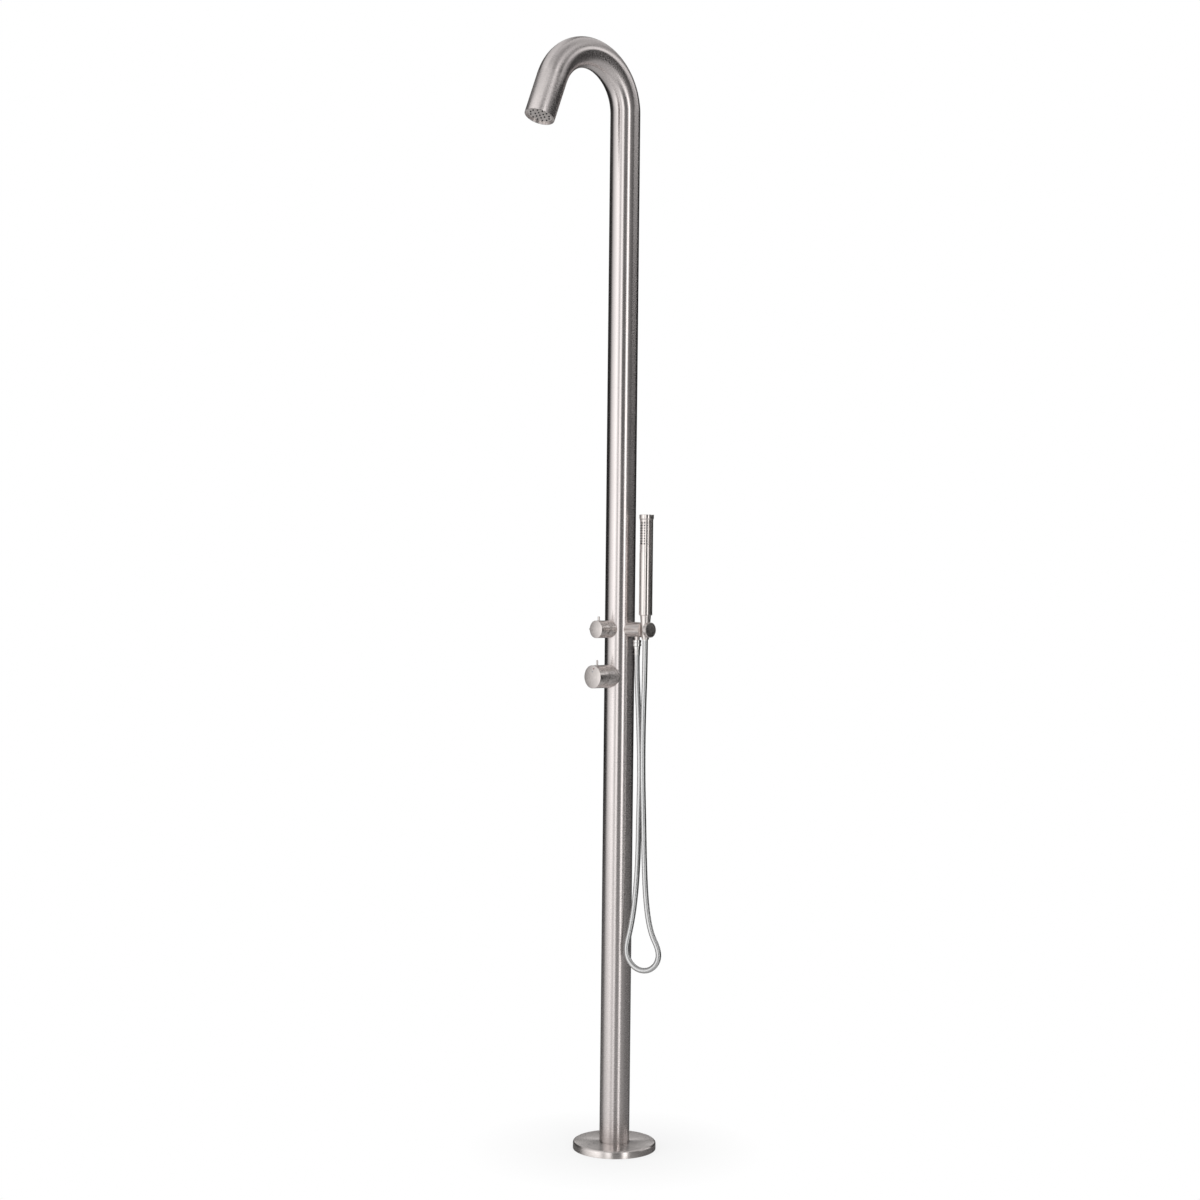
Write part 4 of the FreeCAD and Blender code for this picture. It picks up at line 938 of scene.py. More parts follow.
# ---- Hose ---------------------------------------------------------------------------------------------
@dataclass
class ShowerHose:
    """The metal hose: one length of spiral tube, hanging in a loop between the arm and the hand shower."""

    maker: Maker
    diameter: float = 0.011
    length: float = 1.328
    pitch: float = 0.0026
    groove: float = 0.00045
    band_fullness: float = 0.6
    flats: int = 20
    steps_per_pitch: int = 5
    route_resolution: int = 48
    slack_length: float = 0.0615
    slack_slimmer: float = 0.0005
    route: tuple[Triple, ...] = (
        (OUTLET_X, 0.0, 0.9911),
        (OUTLET_X, 0.0, 0.965),
        (0.0515, 0.001, 0.920),
        (0.0545, 0.0025, 0.860),
        (0.0575, 0.004, 0.760),
        (0.0565, 0.003, 0.660),
        (0.0565, 0.002, 0.580),
        (0.054, -0.0025, 0.505),
        (0.049, -0.008, 0.452),
        (0.0415, -0.014, 0.4115),
        (0.046, -0.013, 0.386),
        (0.067, -0.0095, 0.369),
        (0.0945, -0.0045, 0.369),
        (0.1155, -0.0005, 0.386),
        (0.120, 0.0, 0.4115),
        (0.0985, -0.0045, 0.448),
        (0.0845, -0.003, 0.505),
        (0.078, -0.002, 0.580),
        (0.074, -0.001, 0.660),
        (0.0705, -0.002, 0.760),
        (0.070, -0.0015, 0.860),
        (SEAT_X, 0.0, 0.965),
        (SEAT_X, 0.0, 1.021),
    )

    @property
    def step(self) -> float:
        """How far apart the tube's rings are along the hose."""
        return self.pitch / self.steps_per_pitch

    def centreline(self) -> list[Vector]:
        """Reads points along the smooth line that the route controls.

        Returns:
            The points, from the arm to the hand shower.
        """
        curve = bpy.data.curves.new("hose_route", "CURVE")
        curve.dimensions = "3D"
        curve.resolution_u = self.route_resolution
        spline = curve.splines.new("NURBS")
        spline.points.add(len(self.route) - 1)
        for point, place in zip(spline.points, self.route):
            point.co = (*place, 1.0)
        spline.order_u = 3
        spline.use_endpoint_u = True
        holder = bpy.data.objects.new("hose_route", curve)
        bpy.context.scene.collection.objects.link(holder)
        bpy.context.view_layer.update()
        line = bpy.data.meshes.new_from_object(holder.evaluated_get(bpy.context.evaluated_depsgraph_get()))
        points = [vert.co.copy() for vert in line.vertices]
        bpy.data.objects.remove(holder)
        bpy.data.curves.remove(curve)
        bpy.data.meshes.remove(line)
        return points

    def ring_places(self) -> list[Vector]:
        """Places the tube's rings at even steps along the centreline.

        Returns:
            The rings' centres, from the arm to the hand shower.
        """
        points = self.centreline()
        lengths = [0.0]
        for a, b in zip(points, points[1:]):
            lengths.append(lengths[-1] + (b - a).length)
        count = round(lengths[-1] / self.step)
        places, k = [], 0
        for i in range(count + 1):
            want = lengths[-1] * i / count
            while k < len(points) - 2 and lengths[k + 1] < want:
                k += 1
            part = (want - lengths[k]) / (lengths[k + 1] - lengths[k])
            places.append(points[k].lerp(points[k + 1], part))
        return places

    def radius_at(self, turns: float) -> float:
        """The tube's radius at a place in its spiral: rounded bands with a narrow groove between them."""
        rise = math.sin(math.pi * (turns - math.floor(turns))) ** self.band_fullness
        return self.diameter / 2 - self.groove * (1.0 - rise)

    @staticmethod
    def sides(line: Sequence[Vector]) -> list[tuple[Vector, Vector]]:
        """The two directions square to a line at each of its points, carried along without twist."""
        across = Vector(BACK)
        found = []
        for i in range(len(line)):
            forward = (line[min(i + 1, len(line) - 1)] - line[max(i - 1, 0)]).normalized()
            across = (across - forward * across.dot(forward)).normalized()
            found.append((across, forward.cross(across)))
        return found

    def tube(self, line: Sequence[Vector], slimmer: float = 0.0) -> Mesh:
        """Wraps a grid round a line as the spiral tube, with its grain map, and closes its ends.

        Args:
            line: The centres of its rings.
            slimmer: How much less its radius is than the hose's.

        Returns:
            The tube.
        """
        steps = len(line) - 1
        mesh = bmesh.new()
        layer = mesh.loops.layers.uv.new(GRAIN_MAP)
        bmesh.ops.create_grid(mesh, x_segments=steps, y_segments=self.flats, size=0.5)
        bmesh.ops.translate(mesh, verts=mesh.verts, vec=(0.5, 0.5, 0.0))
        for face in mesh.faces:
            for loop in face.loops:
                loop[layer].uv = (loop.vert.co.x * steps * self.step, loop.vert.co.y)
        sides = self.sides(line)
        for vert in mesh.verts:
            ring, turns = round(vert.co.x * steps), vert.co.y
            across, side = sides[ring]
            out = across * math.cos(TAU * turns) + side * math.sin(TAU * turns)
            vert.co = line[ring] + out * (self.radius_at(ring / self.steps_per_pitch + turns) - slimmer)
        bmesh.ops.remove_doubles(mesh, verts=mesh.verts, dist=MERGE_DISTANCE)
        bmesh.ops.holes_fill(mesh, edges=[e for e in mesh.edges if e.is_boundary], sides=0)
        bmesh.ops.recalc_face_normals(mesh, faces=mesh.faces)
        return mesh

    def build(self, with_pieces: Sequence[Piece]) -> None:
        """Builds the hose, and the slack that comes out of it when the hand shower is lifted.

        Args:
            with_pieces: The pieces on the hose's ends. It is not used.
        """
        line = self.ring_places()
        hose = self.maker.piece(
            "spiral_hose", self.tube(line), Slot.HOSE, Body.POST, ["shower_hose"], smooth_to=ROUND_DEGREES
        )
        slack = self.tube(line[-round(self.slack_length / self.step):], self.slack_slimmer)
        slack_piece = self.maker.piece("hose_slack", slack, Slot.HOSE, Body.HOSE_END, smooth_to=ROUND_DEGREES)


# ---- Arm and what hangs on it -------------------------------------------------------------------------
@dataclass
class HoseArm:
    """The bar beside the post, with the hose's outlet under it.

    The nut's band is a shallow groove: where it starts, is at its full depth, still is, and ends, above the
    nut's bottom.
    """

    maker: Maker
    nut_radius: float = 0.00825
    nut_wall: float = 0.0018
    nut_top: float = 1.0215
    nut_bottom: float = 1.0095
    nut_floor: float = 0.0015
    band: Window = (0.0041, 0.0045, 0.0071, 0.0075)
    band_depth: float = 0.0006
    neck_radius: float = 0.005
    neck_gap: float = 0.0001
    flange_radius: float = 0.0063
    flange_thickness: float = 0.0010
    sleeve_top: float = 1.0091
    sleeve_bottom: float = 0.9911
    sleeve_straight: float = 0.0050
    sleeve_taper: float = 0.0012
    sleeve_top_radius: float = 0.0064
    sleeve_bottom_radius: float = 0.0059
    bore_radius: float = 0.003

    def build(self) -> list[Piece]:
        """Builds the bar and the outlet.

        Returns:
            The pieces on the hose's lower end.
        """
        maker, outlet = self.maker, upright_axis(OUTLET_X)
        bar_axis = axis_towards((0, 0, DIVERTER_HEIGHT), RIGHT, BACK)
        maker.piece(
            "hose_bar",
            copied("hose_arm"),
            Slot.TURNED,
            Body.POST,
            ["hose_arm"],
            smooth_to=CRISP_DEGREES,
            grain=bar_axis,
        )
        maker.piece(
            "outlet_stub",
            copied("outlet_nipple"),
            Slot.FITTING,
            Body.POST,
            ["outlet_nipple"],
            finish=maker.materials[Slot.TURNED],
            grain=outlet,
        )
        return [
            maker.turned(
                name, outlet, profile, Slot.FITTING, Body.POST, [node], segments=64, bevel=edge, closed=True
            )
            for name, profile, node, edge in (
                ("hose_nut", self.nut(), "outlet_nut", 0.0003),
                ("hose_sleeve", self.sleeve(), "outlet_ferrule", 0.0002),
            )
        ]

    def nut(self) -> Profile:
        """The round nut's outline, with its band."""
        floor_top = self.nut_bottom + self.nut_floor
        inside = self.nut_radius - self.nut_wall
        hole = self.neck_radius + self.neck_gap
        depths = (0.0, self.band_depth, self.band_depth, 0.0)
        band = [(self.nut_radius - depth, self.nut_bottom + up) for up, depth in zip(self.band, depths)]
        return [
            (inside, self.nut_top),
            (self.nut_radius, self.nut_top),
            *reversed(band),
            (self.nut_radius, self.nut_bottom),
            (hole, self.nut_bottom),
            (hole, floor_top),
            (inside, floor_top),
        ]

    def sleeve(self) -> Profile:
        """The sleeve's outline: a flange inside the nut, a neck through it and a taper to the hose."""
        flange_bottom = self.nut_bottom + self.nut_floor
        flange_top = flange_bottom + self.flange_thickness
        taper_top = self.sleeve_top - self.sleeve_straight
        return [
            (self.bore_radius, flange_top),
            (self.flange_radius, flange_top),
            (self.flange_radius, flange_bottom),
            (self.neck_radius, flange_bottom),
            (self.neck_radius, self.sleeve_top),
            (self.sleeve_top_radius, self.sleeve_top),
            (self.sleeve_top_radius, taper_top),
            (self.sleeve_bottom_radius, taper_top - self.sleeve_taper),
            (self.sleeve_bottom_radius, self.sleeve_bottom),
            (self.bore_radius, self.sleeve_bottom),
        ]


@dataclass
class HandShower:
    """The stick with its nozzle strip, on the tapered nut that stands in the arm."""

    maker: Maker
    foot: float = 1.071
    radius: float = 0.01325
    foot_edge: float = 0.001
    cap_bottom: float = 1.260
    top: float = 1.270
    cap_radius: float = 0.0144
    cap_taper: float = 0.003
    cap_edge: float = 0.0005
    window_bottom: float = 1.210
    window_top: float = 1.256
    window_half_steps: int = 28
    flats: int = 144
    recess: float = 0.001
    strip_thickness: float = 0.0015
    strip_gap: float = 0.0003
    strip_edge: float = 0.0003
    strip_side_gap: float = 0.012
    under_strip: float = 0.0004
    groove_depth: float = 0.0008
    groove_width: float = 0.0015
    groove_pitch: float = 0.0034
    groove_count: int = 4
    first_groove: float = 0.003
    nozzle_rows: int = 9
    nozzle_columns: int = 5
    nozzle_half_angle: float = 52.0
    nozzle_radius: float = 0.00135
    nozzle_tip: float = 0.00085
    nozzle_bore: float = 0.00040
    nozzle_root: float = -0.0004
    nozzle_foot: float = 0.0001
    nozzle_bore_floor: float = 0.0002
    nozzle_height: float = 0.0008
    nozzle_flats: int = 14
    cone_top_radius: float = 0.0108
    cone_bottom_radius: float = 0.007
    cone_height: float = 0.048
    cone_edge: float = 0.0004
    stem_hole: float = 0.0055

    @property
    def axis(self) -> Matrix:
        """The hand shower's axis, with its seam at the back."""
        return upright_axis(SEAT_X)

    def groove_bands(self) -> list[Pair]:
        """The grip grooves' lower and upper edges."""
        first = self.window_bottom - self.first_groove
        tops = [first - i * self.groove_pitch for i in range(self.groove_count)]
        return [(top - self.groove_width, top) for top in tops]

    def stick(self) -> Mesh:
        """Draws the body with its window and grooves pressed in at the front."""
        window = (self.window_bottom, self.window_top)
        bands = sorted([*self.groove_bands(), window])
        heights = [h for band in bands for h in band]
        profile = [(0.0, self.foot), (self.radius, self.foot)]
        profile += [(self.radius, h) for h in heights]
        profile += [(self.radius, self.cap_bottom), (0.0, self.cap_bottom)]
        mesh = spun(profile, self.flats)
        foot_level = self.foot + LEVEL_MARGIN
        steep = sharp_edges(mesh, STEEP_CORNER_DEGREES)
        foot_edges = [e for e in steep if max(v.co.z for v in e.verts) < foot_level]
        bevel_edges(mesh, foot_edges, self.foot_edge, 3)
        for band in bands:
            depth = self.recess + self.under_strip if band == window else self.groove_depth
            self.press_in(mesh, band, depth)
        mesh.transform(self.axis)
        return mesh

    def at_front(self, point: Vector) -> bool:
        """Whether a point about the world's Z axis is within the window's angle of the front."""
        angle = math.remainder(math.atan2(point.y, point.x) - math.pi, TAU)
        return abs(angle) < TAU * self.window_half_steps / self.flats

    def press_in(self, mesh: Mesh, band: Pair, depth: float) -> None:
        """Presses the front of a band of the stick inwards.

        Args:
            mesh: The stick, about the world's Z axis.
            band: The band's lower and upper edge.
            depth: How far in it goes.
        """
        low, high = band
        chosen = []
        for face in mesh.faces:
            middle = face.calc_center_median()
            if low < middle.z < high and self.at_front(middle):
                chosen.append(face)
        out = bmesh.ops.extrude_face_region(mesh, geom=chosen)["geom"]
        scale = (self.radius - depth) / self.radius
        bmesh.ops.scale(mesh, verts=of_kind(out, bmesh.types.BMVert), vec=(scale, scale, 1.0))
        bmesh.ops.delete(mesh, geom=chosen, context="FACES_ONLY")

    def strip(self) -> Mesh:
        """Draws the curved face that fills the window."""
        outer = self.radius - self.recess
        inner = outer - self.strip_thickness
        low, high = self.window_bottom + self.strip_gap, self.window_top - self.strip_gap
        half = TAU * self.window_half_steps / self.flats - self.strip_side_gap
        mesh = bmesh.new()
        corners = ((outer, low), (outer, high), (inner, high), (inner, low))
        face = mesh.faces.new([mesh.verts.new((r, 0, z)) for r, z in corners])
        start = Matrix.Rotation(math.pi - half, 3, "Z")
        bmesh.ops.rotate(mesh, verts=mesh.verts, cent=(0, 0, 0), matrix=start)
        bmesh.ops.spin(
            mesh,
            geom=[*mesh.verts, *mesh.edges, face],
            cent=(0, 0, 0),
            axis=UP,
            angle=2 * half,
            steps=2 * self.window_half_steps,
        )
        bmesh.ops.recalc_face_normals(mesh, faces=mesh.faces)
        bevel_edges(mesh, sharp_edges(mesh, STEEP_CORNER_DEGREES), self.strip_edge)
        mesh.transform(self.axis)
        return mesh

    def nozzles(self) -> Mesh:
        """Draws the rows of soft nozzles that stand out of the window's face."""
        mesh = bmesh.new()
        spacing = (self.window_top - self.window_bottom) / self.nozzle_rows
        for row in range(self.nozzle_rows):
            z = self.window_bottom + (row + 0.5) * spacing
            for column in range(self.nozzle_columns):
                share = column / (self.nozzle_columns - 1) * 2 - 1
                self.add_nozzle(mesh, z, math.pi + math.radians(share * self.nozzle_half_angle))
        mesh.transform(self.axis)
        return mesh

    def add_nozzle(self, mesh: Mesh, z: float, turn: float) -> None:
        """Adds a small tapered nozzle that points out of the strip.

        Args:
            mesh: The nozzles so far, about the world's Z axis.
            z: The nozzle's height.
            turn: Its angle round the strip.
        """
        profile = [
            (0.0, self.nozzle_root),
            (self.nozzle_radius, self.nozzle_root),
            (self.nozzle_radius, self.nozzle_foot),
            (self.nozzle_tip, self.nozzle_height),
            (self.nozzle_bore, self.nozzle_height),
            (self.nozzle_bore, self.nozzle_bore_floor),
            (0.0, self.nozzle_bore_floor),
        ]
        nozzle = spun(profile, self.nozzle_flats)
        direction = Vector((math.cos(turn), math.sin(turn), 0.0))
        foot = direction * (self.radius - self.recess) + Vector((0, 0, z))
        nozzle.transform(axis_towards(foot, direction, UP))
        merged(mesh, nozzle)

    def build(self) -> list[Piece]:
        """Builds the hand shower and its tapered nut.

        Returns:
            The pieces on the hose's upper end.
        """
        maker, axis = self.maker, self.axis
        rides = (Slot.TURNED, Body.HANDSET)
        maker.piece("stick", self.stick(), *rides, ["handset_body"], smooth_to=CRISP_DEGREES, grain=axis)
        maker.piece("window_face", self.strip(), *rides, smooth_to=CRISP_DEGREES, grain=axis)
        maker.piece(
            "window_nozzles",
            self.nozzles(),
            Slot.NOZZLE,
            Body.HANDSET,
            ["spray_strip"],
            smooth_to=NOZZLE_DEGREES,
        )
        cap = [
            (0.0, self.cap_bottom),
            (self.radius, self.cap_bottom),
            (self.cap_radius, self.cap_bottom + self.cap_taper),
            (self.cap_radius, self.top),
            (0.0, self.top),
        ]
        cap_shape = {"segments": self.flats, "bevel": self.cap_edge, "bevel_segments": 3}
        maker.turned("end_cap", axis, cap, *rides, ["handset_cap"], **cap_shape)
        bottom = self.foot - self.cone_height
        cone = [
            (self.stem_hole, bottom),
            (self.cone_bottom_radius, bottom),
            (self.cone_top_radius, self.foot),
            (self.stem_hole, self.foot),
        ]
        cone_shape = {"bevel": self.cone_edge, "closed": True}
        return [maker.turned("tapered_nut", axis, cone, *rides, ["cone_nut"], **cone_shape)]


# ---- Rose ---------------------------------------------------------------------------------------------
@dataclass
class Rose:
    """What shows in the post's mouth: the housing's rim, the face plate and the soft nozzles."""

    maker: Maker
    mouth: Matrix
    radius: float = 0.02795
    face: float = -0.0015
    back: float = -0.0435
    rim: float = 0.0026
    rim_edge: float = 0.0003
    plate_front: float = -0.003
    plate_back: float = -0.0045
    mat_back: float = -0.007
    mat_gap: float = 0.0001
    nozzle_radius: float = 0.0018
    nozzle_root: float = 0.0005
    nozzle_tip: float = 0.0012
    nozzle_bore: float = 0.0006
    nozzle_proud: float = 0.0012
    nozzle_flats: int = 24
    ring_pitch: float = 0.0095
    rings: int = 2

    @property
    def opening(self) -> float:
        """The radius of the housing's opening."""
        return self.radius - self.rim

    def nozzle_places(self) -> list[Pair]:
        """Where the nozzles are on the mouth's face: one in the middle and six more in each next ring."""
        found = [(0.0, 0.0)]
        for ring in range(1, self.rings + 1):
            out = ring * self.ring_pitch
            angles = [TAU * i / (6 * ring) - math.pi / 2 for i in range(6 * ring)]
            found += [(out * math.cos(angle), out * math.sin(angle)) for angle in angles]
        return found

    def build(self) -> None:
        """Builds the rose."""
        turned_steel = self.maker.materials[Slot.TURNED]
        cup = [
            (0.0, self.back),
            (self.radius, self.back),
            (self.radius, self.face),
            (self.opening, self.face),
            (self.opening, self.mat_back),
            (0.0, self.mat_back),
        ]
        rides = (Slot.FITTING, Body.POST)
        self.maker.turned(
            "rose_cup", self.mouth, cup, *rides, ["rose_housing"], finish=turned_steel, bevel=self.rim_edge
        )
        self.maker.piece(
            "rose_face",
            copied("rose_plate"),
            *rides,
            ["rose_plate"],
            smooth_to=CRISP_DEGREES,
            finish=turned_steel,
            grain=self.mouth,
        )
        mat = self.mat()
        self.maker.piece("rose_nozzles", mat, Slot.NOZZLE, Body.POST, ["rose_mat"], smooth_to=NOZZLE_DEGREES)

    def mat(self) -> Mesh:
        """Draws the soft mat with its nozzles."""
        edge = self.opening - self.mat_gap
        back, front = self.mat_back + self.mat_gap, self.plate_back - self.mat_gap
        mesh = spun([(0.0, back), (edge, back), (edge, front), (0.0, front)])
        root, tip = self.plate_back - self.nozzle_root, self.plate_front + self.nozzle_proud
        nozzle_profile = [
            (self.nozzle_bore, root),
            (self.nozzle_radius, root),
            (self.nozzle_radius, self.plate_front),
            (self.nozzle_tip, tip),
            (self.nozzle_bore, tip),
        ]
        for x, y in self.nozzle_places():
            nozzle = spun(nozzle_profile, self.nozzle_flats, closed=True)
            nozzle.transform(Matrix.Translation((x, y, 0)))
            merged(mesh, nozzle)
        mesh.transform(self.mouth)
        return mesh


# ---- Studio -------------------------------------------------------------------------------------------
@dataclass(frozen=True)
class SoftBox:
    """A lamp that faces the post. Its azimuth is in degrees to the right of the camera's."""

    name: str
    azimuth: float
    distance: float
    height: float
    width: float
    tallness: float
    watts: float


@dataclass
class Studio:
    """The camera at the photograph's angle, the pale floor, the soft lamps and the surroundings.

    The surroundings are what the metal mirrors. Stops are grey tones by angle in degrees: round the post in
    four tiers, low, level, rise and high, and by height in a side and a back window. Each tier gives way to
    the next between the heights in steps_up.
    """

    camera_azimuth: float = 45.285
    camera_distance: float = 4.1114
    camera_height: float = 1.1467
    camera_pitch: float = 0.454
    camera_yaw: float = 0.564
    camera_roll: float = 0.618
    lens: float = 61.55
    sensor: float = 36.0
    shift_up: float = -0.006
    view_depth: float = 60.0
    floor_radius: float = 2.6
    floor_tones: Pair = (0.86, 0.88)
    floor_clouds_per_metre: float = 14.0
    floor_faintness: float = 0.78
    fade_reach: Pair = (0.085, 0.30)
    fade_least: float = 0.80
    lamp_aim: Triple = (0, 0, 1.1)
    lamps: tuple[SoftBox, ...] = (
        SoftBox("broad_soft_box", -55.0, 2.6, 1.7, 3.4, 3.2, 40.0),
        SoftBox("strip_soft_box", 32.0, 2.6, 1.6, 0.9, 3.0, 12.0),
        SoftBox("back_soft_box", 175.0, 2.8, 2.0, 2.4, 2.4, 14.0),
    )
    ambient: float = 0.5
    level_stops: Stops = (
        (-180.0, 0.03), (-118.0, 0.02), (-108.0, 0.06), (-98.0, 0.55), (-84.0, 1.02), (-64.0, 1.55),
        (-47.0, 1.98), (-38.0, 1.45), (-31.0, 0.72), (-26.0, 0.82), (-20.0, 1.70), (-13.0, 2.00),
        (-8.0, 1.00), (-4.0, 0.11), (14.0, 0.09), (21.0, 0.18), (26.0, 2.20), (34.0, 2.50),
        (39.0, 0.50), (45.0, 0.20), (64.0, 0.10), (84.0, 0.03), (138.0, 0.015), (180.0, 0.03),
    )
    low_stops: Stops = (
        (-180.0, 0.50), (-120.0, 0.42), (-60.0, 0.75), (-20.0, 0.85), (0.0, 0.40), (20.0, 0.40),
        (30.0, 1.30), (42.0, 0.50), (80.0, 0.34), (130.0, 0.44), (180.0, 0.50),
    )
    rise_stops: Stops = (
        (-180.0, 0.75), (-166.0, 0.75), (-158.0, 0.12), (-118.0, 0.08), (-108.0, 0.20), (-98.0, 0.55),
        (-60.0, 1.20), (-40.0, 1.25), (-31.0, 0.85), (-15.0, 1.35), (-5.0, 0.35), (18.0, 0.30),
        (28.0, 1.70), (35.0, 1.70), (44.0, 0.30), (80.0, 0.12), (118.0, 0.08), (158.0, 0.12),
        (166.0, 0.75), (180.0, 0.75),
    )
    high_stops: Stops = (
        (-180.0, 0.70), (-110.0, 0.75), (-60.0, 0.95), (-20.0, 0.95), (0.0, 0.55), (26.0, 0.75),
        (34.0, 0.80), (60.0, 0.50), (84.0, 0.66), (180.0, 0.70),
    )
    side_heights: Stops = (
        (-90.0, 0.45), (-46.0, 0.46), (-38.0, 0.32), (-32.0, 0.10), (-26.0, 0.035), (11.0, 0.035),
        (14.0, 0.15), (17.0, 1.35), (27.0, 1.35), (31.0, 0.45), (41.0, 0.42), (48.0, 0.62), (90.0, 0.62),
    )
    back_heights: Stops = (
        (-90.0, 0.50), (-25.0, 0.45), (-18.0, 0.04), (15.0, 0.03), (17.0, 1.10), (21.0, 1.10),
        (23.0, 0.06), (60.0, 0.10), (72.0, 0.40), (90.0, 0.40),
    )
    steps_up: tuple[Pair, ...] = ((-31.0, -25.0), (13.0, 15.5), (35.0, 40.0))
    side_window: Window = (74.0, 80.0, 124.0, 132.0)
    back_window: Window = (171.0, 174.0, 181.0, 182.0)
    front_window: Window = (-75.0, -60.0, 60.0, 75.0)
    dark_ring: Window = (52.0, 58.0, 72.0, 80.0)
    dark_ring_tone: float = 0.22

    def towards(self, azimuth: float) -> Vector:
        """The level direction at an angle to the right of the camera's, seen from the post."""
        angle = math.radians(azimuth)
        turn = math.radians(self.camera_azimuth)
        to_camera = Vector((math.sin(turn), -math.cos(turn), 0.0))
        right = Vector((math.cos(turn), math.sin(turn), 0.0))
        return to_camera * math.cos(angle) + right * math.sin(angle)

    def build_camera(self) -> None:
        """Places the camera where the photograph was taken from."""
        up = Vector(UP)
        place = self.towards(0.0) * self.camera_distance + up * self.camera_height
        level_right, level_out = self.towards(90.0 + self.camera_yaw), self.towards(self.camera_yaw)
        pitch, roll = math.radians(self.camera_pitch), math.radians(self.camera_roll)
        out = level_out * math.cos(pitch) + up * math.sin(pitch)
        over = up * math.cos(pitch) - level_out * math.sin(pitch)
        right = level_right * math.cos(roll) + over * math.sin(roll)
        above = over * math.cos(roll) - level_right * math.sin(roll)
        turn = Matrix((right, above, out)).transposed()
        data = bpy.data.cameras.new("camera")
        data.lens = self.lens
        data.sensor_width = self.sensor
        data.shift_y = self.shift_up
        data.clip_end = self.view_depth
        camera = bpy.data.objects.new("camera", data)
        camera.matrix_world = Matrix.Translation(place) @ turn.to_4x4()
        bpy.context.scene.collection.objects.link(camera)
        bpy.context.scene.camera = camera

    def floor_paint(self) -> Material:
        """Makes the floor's paint, which fades to white away from the post and is faint in mirrors."""
        sheet = ShaderSheet("pale floor")
        place = sheet.object_place()
        distance = sheet.add("VectorMath", {0: place}, operation="LENGTH").outputs["Value"]
        fade = sheet.spread(distance, self.fade_least, 1.0, *self.fade_reach)
        clouds = sheet.spread(sheet.noise(place, self.floor_clouds_per_metre), 0.0, 1.0)
        tone = sheet.blend(clouds, *((tone,) * 3 for tone in self.floor_tones))
        paint = sheet.add("BsdfDiffuse", {0: tone}).outputs[0]
        white = sheet.add("Emission", {"Color": (*WHITE, 1.0), "Strength": 1.0}).outputs[0]
        rays = sheet.add("LightPath").outputs
        shown = sheet.layered(sheet.math("MULTIPLY", fade, rays["Is Camera Ray"]), paint, white)
        faint = sheet.math("MULTIPLY", rays["Is Glossy Ray"], self.floor_faintness)
        return sheet.finish(sheet.layered(faint, shown, sheet.add("BsdfTransparent").outputs[0]))

    def build_floor(self) -> None:
        """Lays a pale round floor that keeps the post's shadow and fades into the white background."""
        mesh = bmesh.new()
        bmesh.ops.create_circle(mesh, cap_ends=True, segments=96, radius=self.floor_radius)
        data = bpy.data.meshes.new("floor")
        mesh.to_mesh(data)
        mesh.free()
        data.materials.append(self.floor_paint())
        floor = bpy.data.objects.new("floor", data)
        bpy.context.scene.collection.objects.link(floor)

    def build_lamp(self, box: SoftBox) -> None:
        """Hangs a soft box so that it lights the post but isn't seen or mirrored."""
        data = bpy.data.lights.new(box.name, "AREA")
        data.shape = "RECTANGLE"
        data.size, data.size_y = box.width, box.tallness
        data.energy = box.watts
        lamp = bpy.data.objects.new(box.name, data)
        lamp.location = self.towards(box.azimuth) * box.distance + Vector((0, 0, box.height))
        aim = Vector(self.lamp_aim) - lamp.location
        lamp.rotation_euler = aim.to_track_quat("-Z", "Y").to_euler()
        lamp.visible_camera = False
        lamp.visible_glossy = False
        bpy.context.scene.collection.objects.link(lamp)

    def mirrored_room(self, sheet: ShaderSheet) -> Socket:
        """Adds the grey tones that the metal mirrors, by the direction of the ray.

        Args:
            sheet: The world's sheet.

        Returns:
            The shader's socket.
        """
        parts = sheet.add("SeparateXYZ", {0: sheet.add("TexCoord").outputs["Generated"]}).outputs
        to_camera = self.towards(0.0)
        from_camera = sheet.math(
            "SUBTRACT", sheet.math("ARCTAN2", parts["Y"], parts["X"]), math.atan2(to_camera.y, to_camera.x)
        )
        whole_turns = 8
        turns = sheet.math("ADD", sheet.math("DIVIDE", from_camera, TAU), 0.5 + whole_turns)
        share = sheet.math("FRACT", turns)
        around = sheet.spread(share, -180.0, 180.0, 0.0, 1.0)
        height = sheet.math("DEGREES", sheet.math("ARCSINE", parts["Z"]))
        upwards = sheet.spread(height, 0.0, 1.0, -90.0, 90.0)
        tiers = (self.low_stops, self.level_stops, self.rise_stops, self.high_stops)
        top = max(value for stops in (*tiers, self.side_heights, self.back_heights) for _, value in stops)
        room = sheet.ramp(share, tiers[0], top)
        for stops, (low, high) in zip(tiers[1:], self.steps_up):
            room = sheet.blend(sheet.spread(height, 0.0, 1.0, low, high), room, sheet.ramp(share, stops, top))
        for where, limits, stops in (
            (around, self.side_window, self.side_heights),
            (sheet.math("ABSOLUTE", around), self.back_window, self.back_heights),
        ):
            room = sheet.blend(sheet.window(where, limits), room, sheet.ramp(upwards, stops, top))
        overhead = sheet.math(
            "MULTIPLY", sheet.window(height, self.dark_ring), sheet.window(around, self.front_window)
        )
        dark = sheet.blend(overhead, WHITE, (self.dark_ring_tone,) * 3)
        shaded = sheet.blend(1.0, room, dark, "MULTIPLY")
        return sheet.add("Background", {"Color": shaded, "Strength": top}).outputs[0]

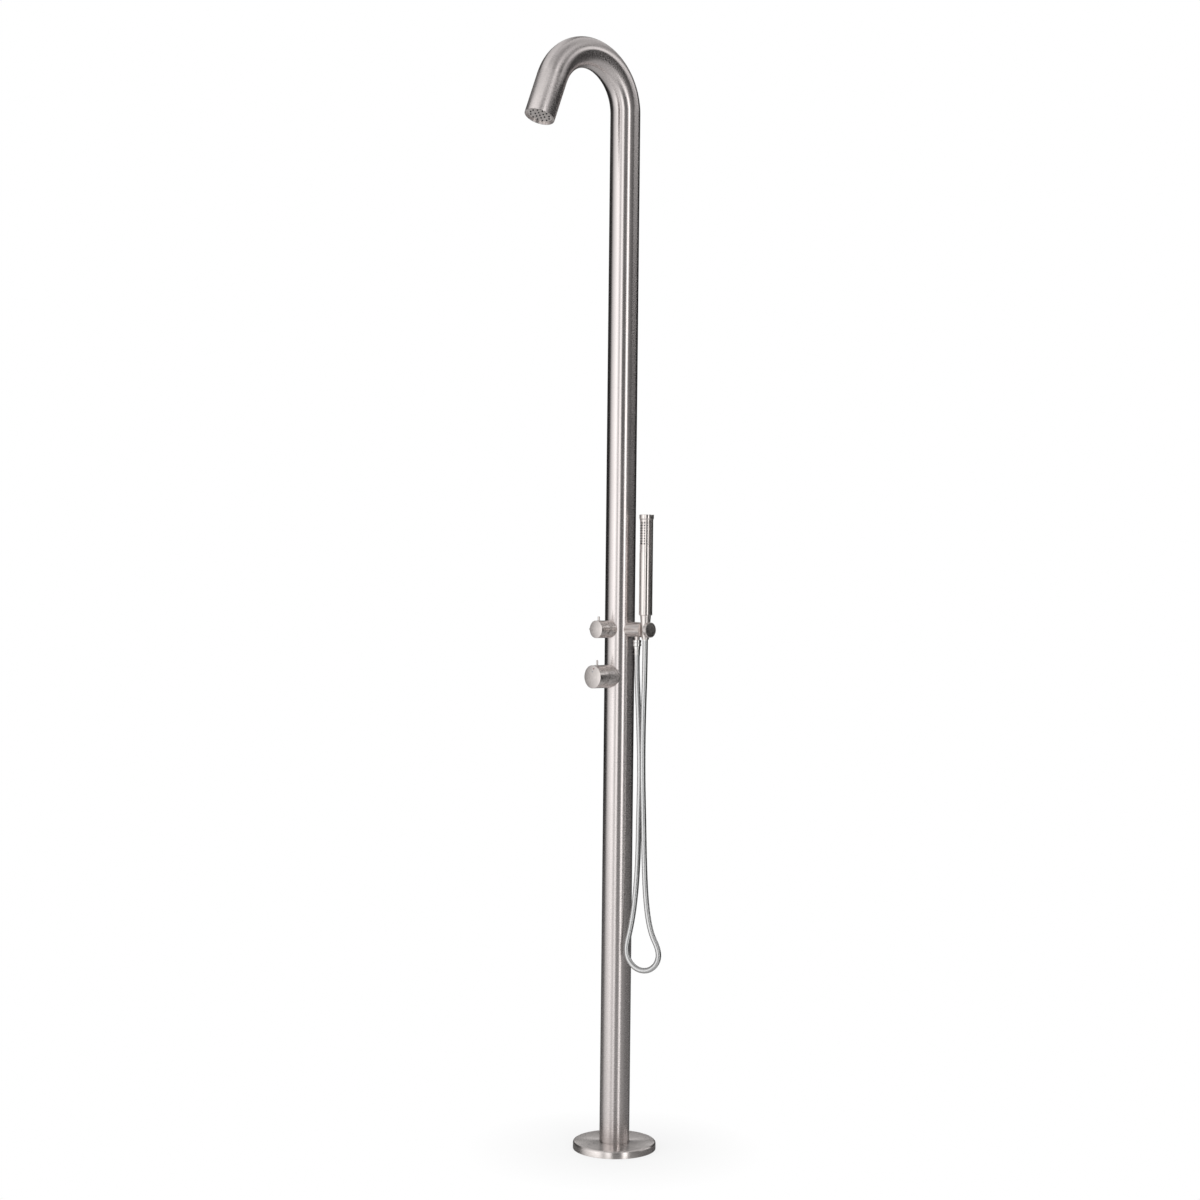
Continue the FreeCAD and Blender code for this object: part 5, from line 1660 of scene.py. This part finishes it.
    def build_surroundings(self) -> None:
        """Sets the world: an even glow on the object, white behind it, and the room in its metal."""
        world = bpy.data.worlds.new("studio")
        bpy.context.scene.world = world
        sheet = ShaderSheet("studio", world)
        glow, white = (
            sheet.add("Background", {"Color": (*WHITE, 1.0), "Strength": strength}).outputs[0]
            for strength in (self.ambient, 1.0)
        )
        rays = sheet.add("LightPath").outputs
        shiny = sheet.math("MAXIMUM", rays["Is Glossy Ray"], rays["Is Transmission Ray"])
        lit = sheet.layered(shiny, glow, self.mirrored_room(sheet))
        sheet.finish(sheet.layered(rays["Is Camera Ray"], lit, white))

    def build(self) -> None:
        """Builds the whole studio."""
        self.build_camera()
        self.build_floor()
        for box in self.lamps:
            self.build_lamp(box)
        self.build_surroundings()
        bpy.context.scene.view_settings.view_transform = "Standard"


def main() -> None:
    """Builds the studio, then each sub-assembly in turn."""
    logging.basicConfig(level=logging.INFO, format="%(message)s")
    Studio().build()
    maker = Maker()
    maker.dress_cad_nodes()
    post = BentPost(maker)
    post.build()
    Foot(maker).build()
    warm = Moulded("warm mark enamel", (0.20, 0.03, 0.03), 0.25, coat=0.5)
    cold = Moulded("cold mark enamel", (0.25, 0.27, 0.33), 0.25, coat=0.5)
    index_marks = (
        FaceMark("warm_mark", across=0.0039, up=0.0162, radius=0.0014, finish=warm),
        FaceMark("cold_mark", across=0.0003, up=0.0100, radius=0.0010, finish=cold),
    )
    ValveControl(
        maker,
        "mixer",
        Body.MIXER_HANDLE,
        MIXER_HEIGHT,
        radius=0.023,
        boss_end=0.050,
        seat_radius=0.02065,
        seat_depth=0.009,
        bore_radius=0.01905,
        knob_end=0.075,
        pin_radius=0.0019,
        pin_proud=0.010,
        pin_root=0.016,
        pin_from_face=0.013,
        pin_directions=(UP,),
        marks=index_marks,
    ).build()
    ValveControl(
        maker,
        "diverter",
        Body.DIVERTER_HANDLE,
        DIVERTER_HEIGHT,
        radius=0.0175,
        boss_end=0.0444,
        seat_radius=0.01525,
        seat_depth=0.0085,
        bore_radius=0.01385,
        knob_end=0.067,
        pin_radius=0.0021,
        pin_proud=0.008,
        pin_root=0.0115,
        pin_from_face=0.008,
        pin_directions=(UP, LEFT),
    ).build()
    lower_end = HoseArm(maker).build()
    upper_end = HandShower(maker).build()
    ShowerHose(maker).build([*lower_end, *upper_end])
    Rose(maker, post.mouth).build()


if __name__ == "__main__":
    main()
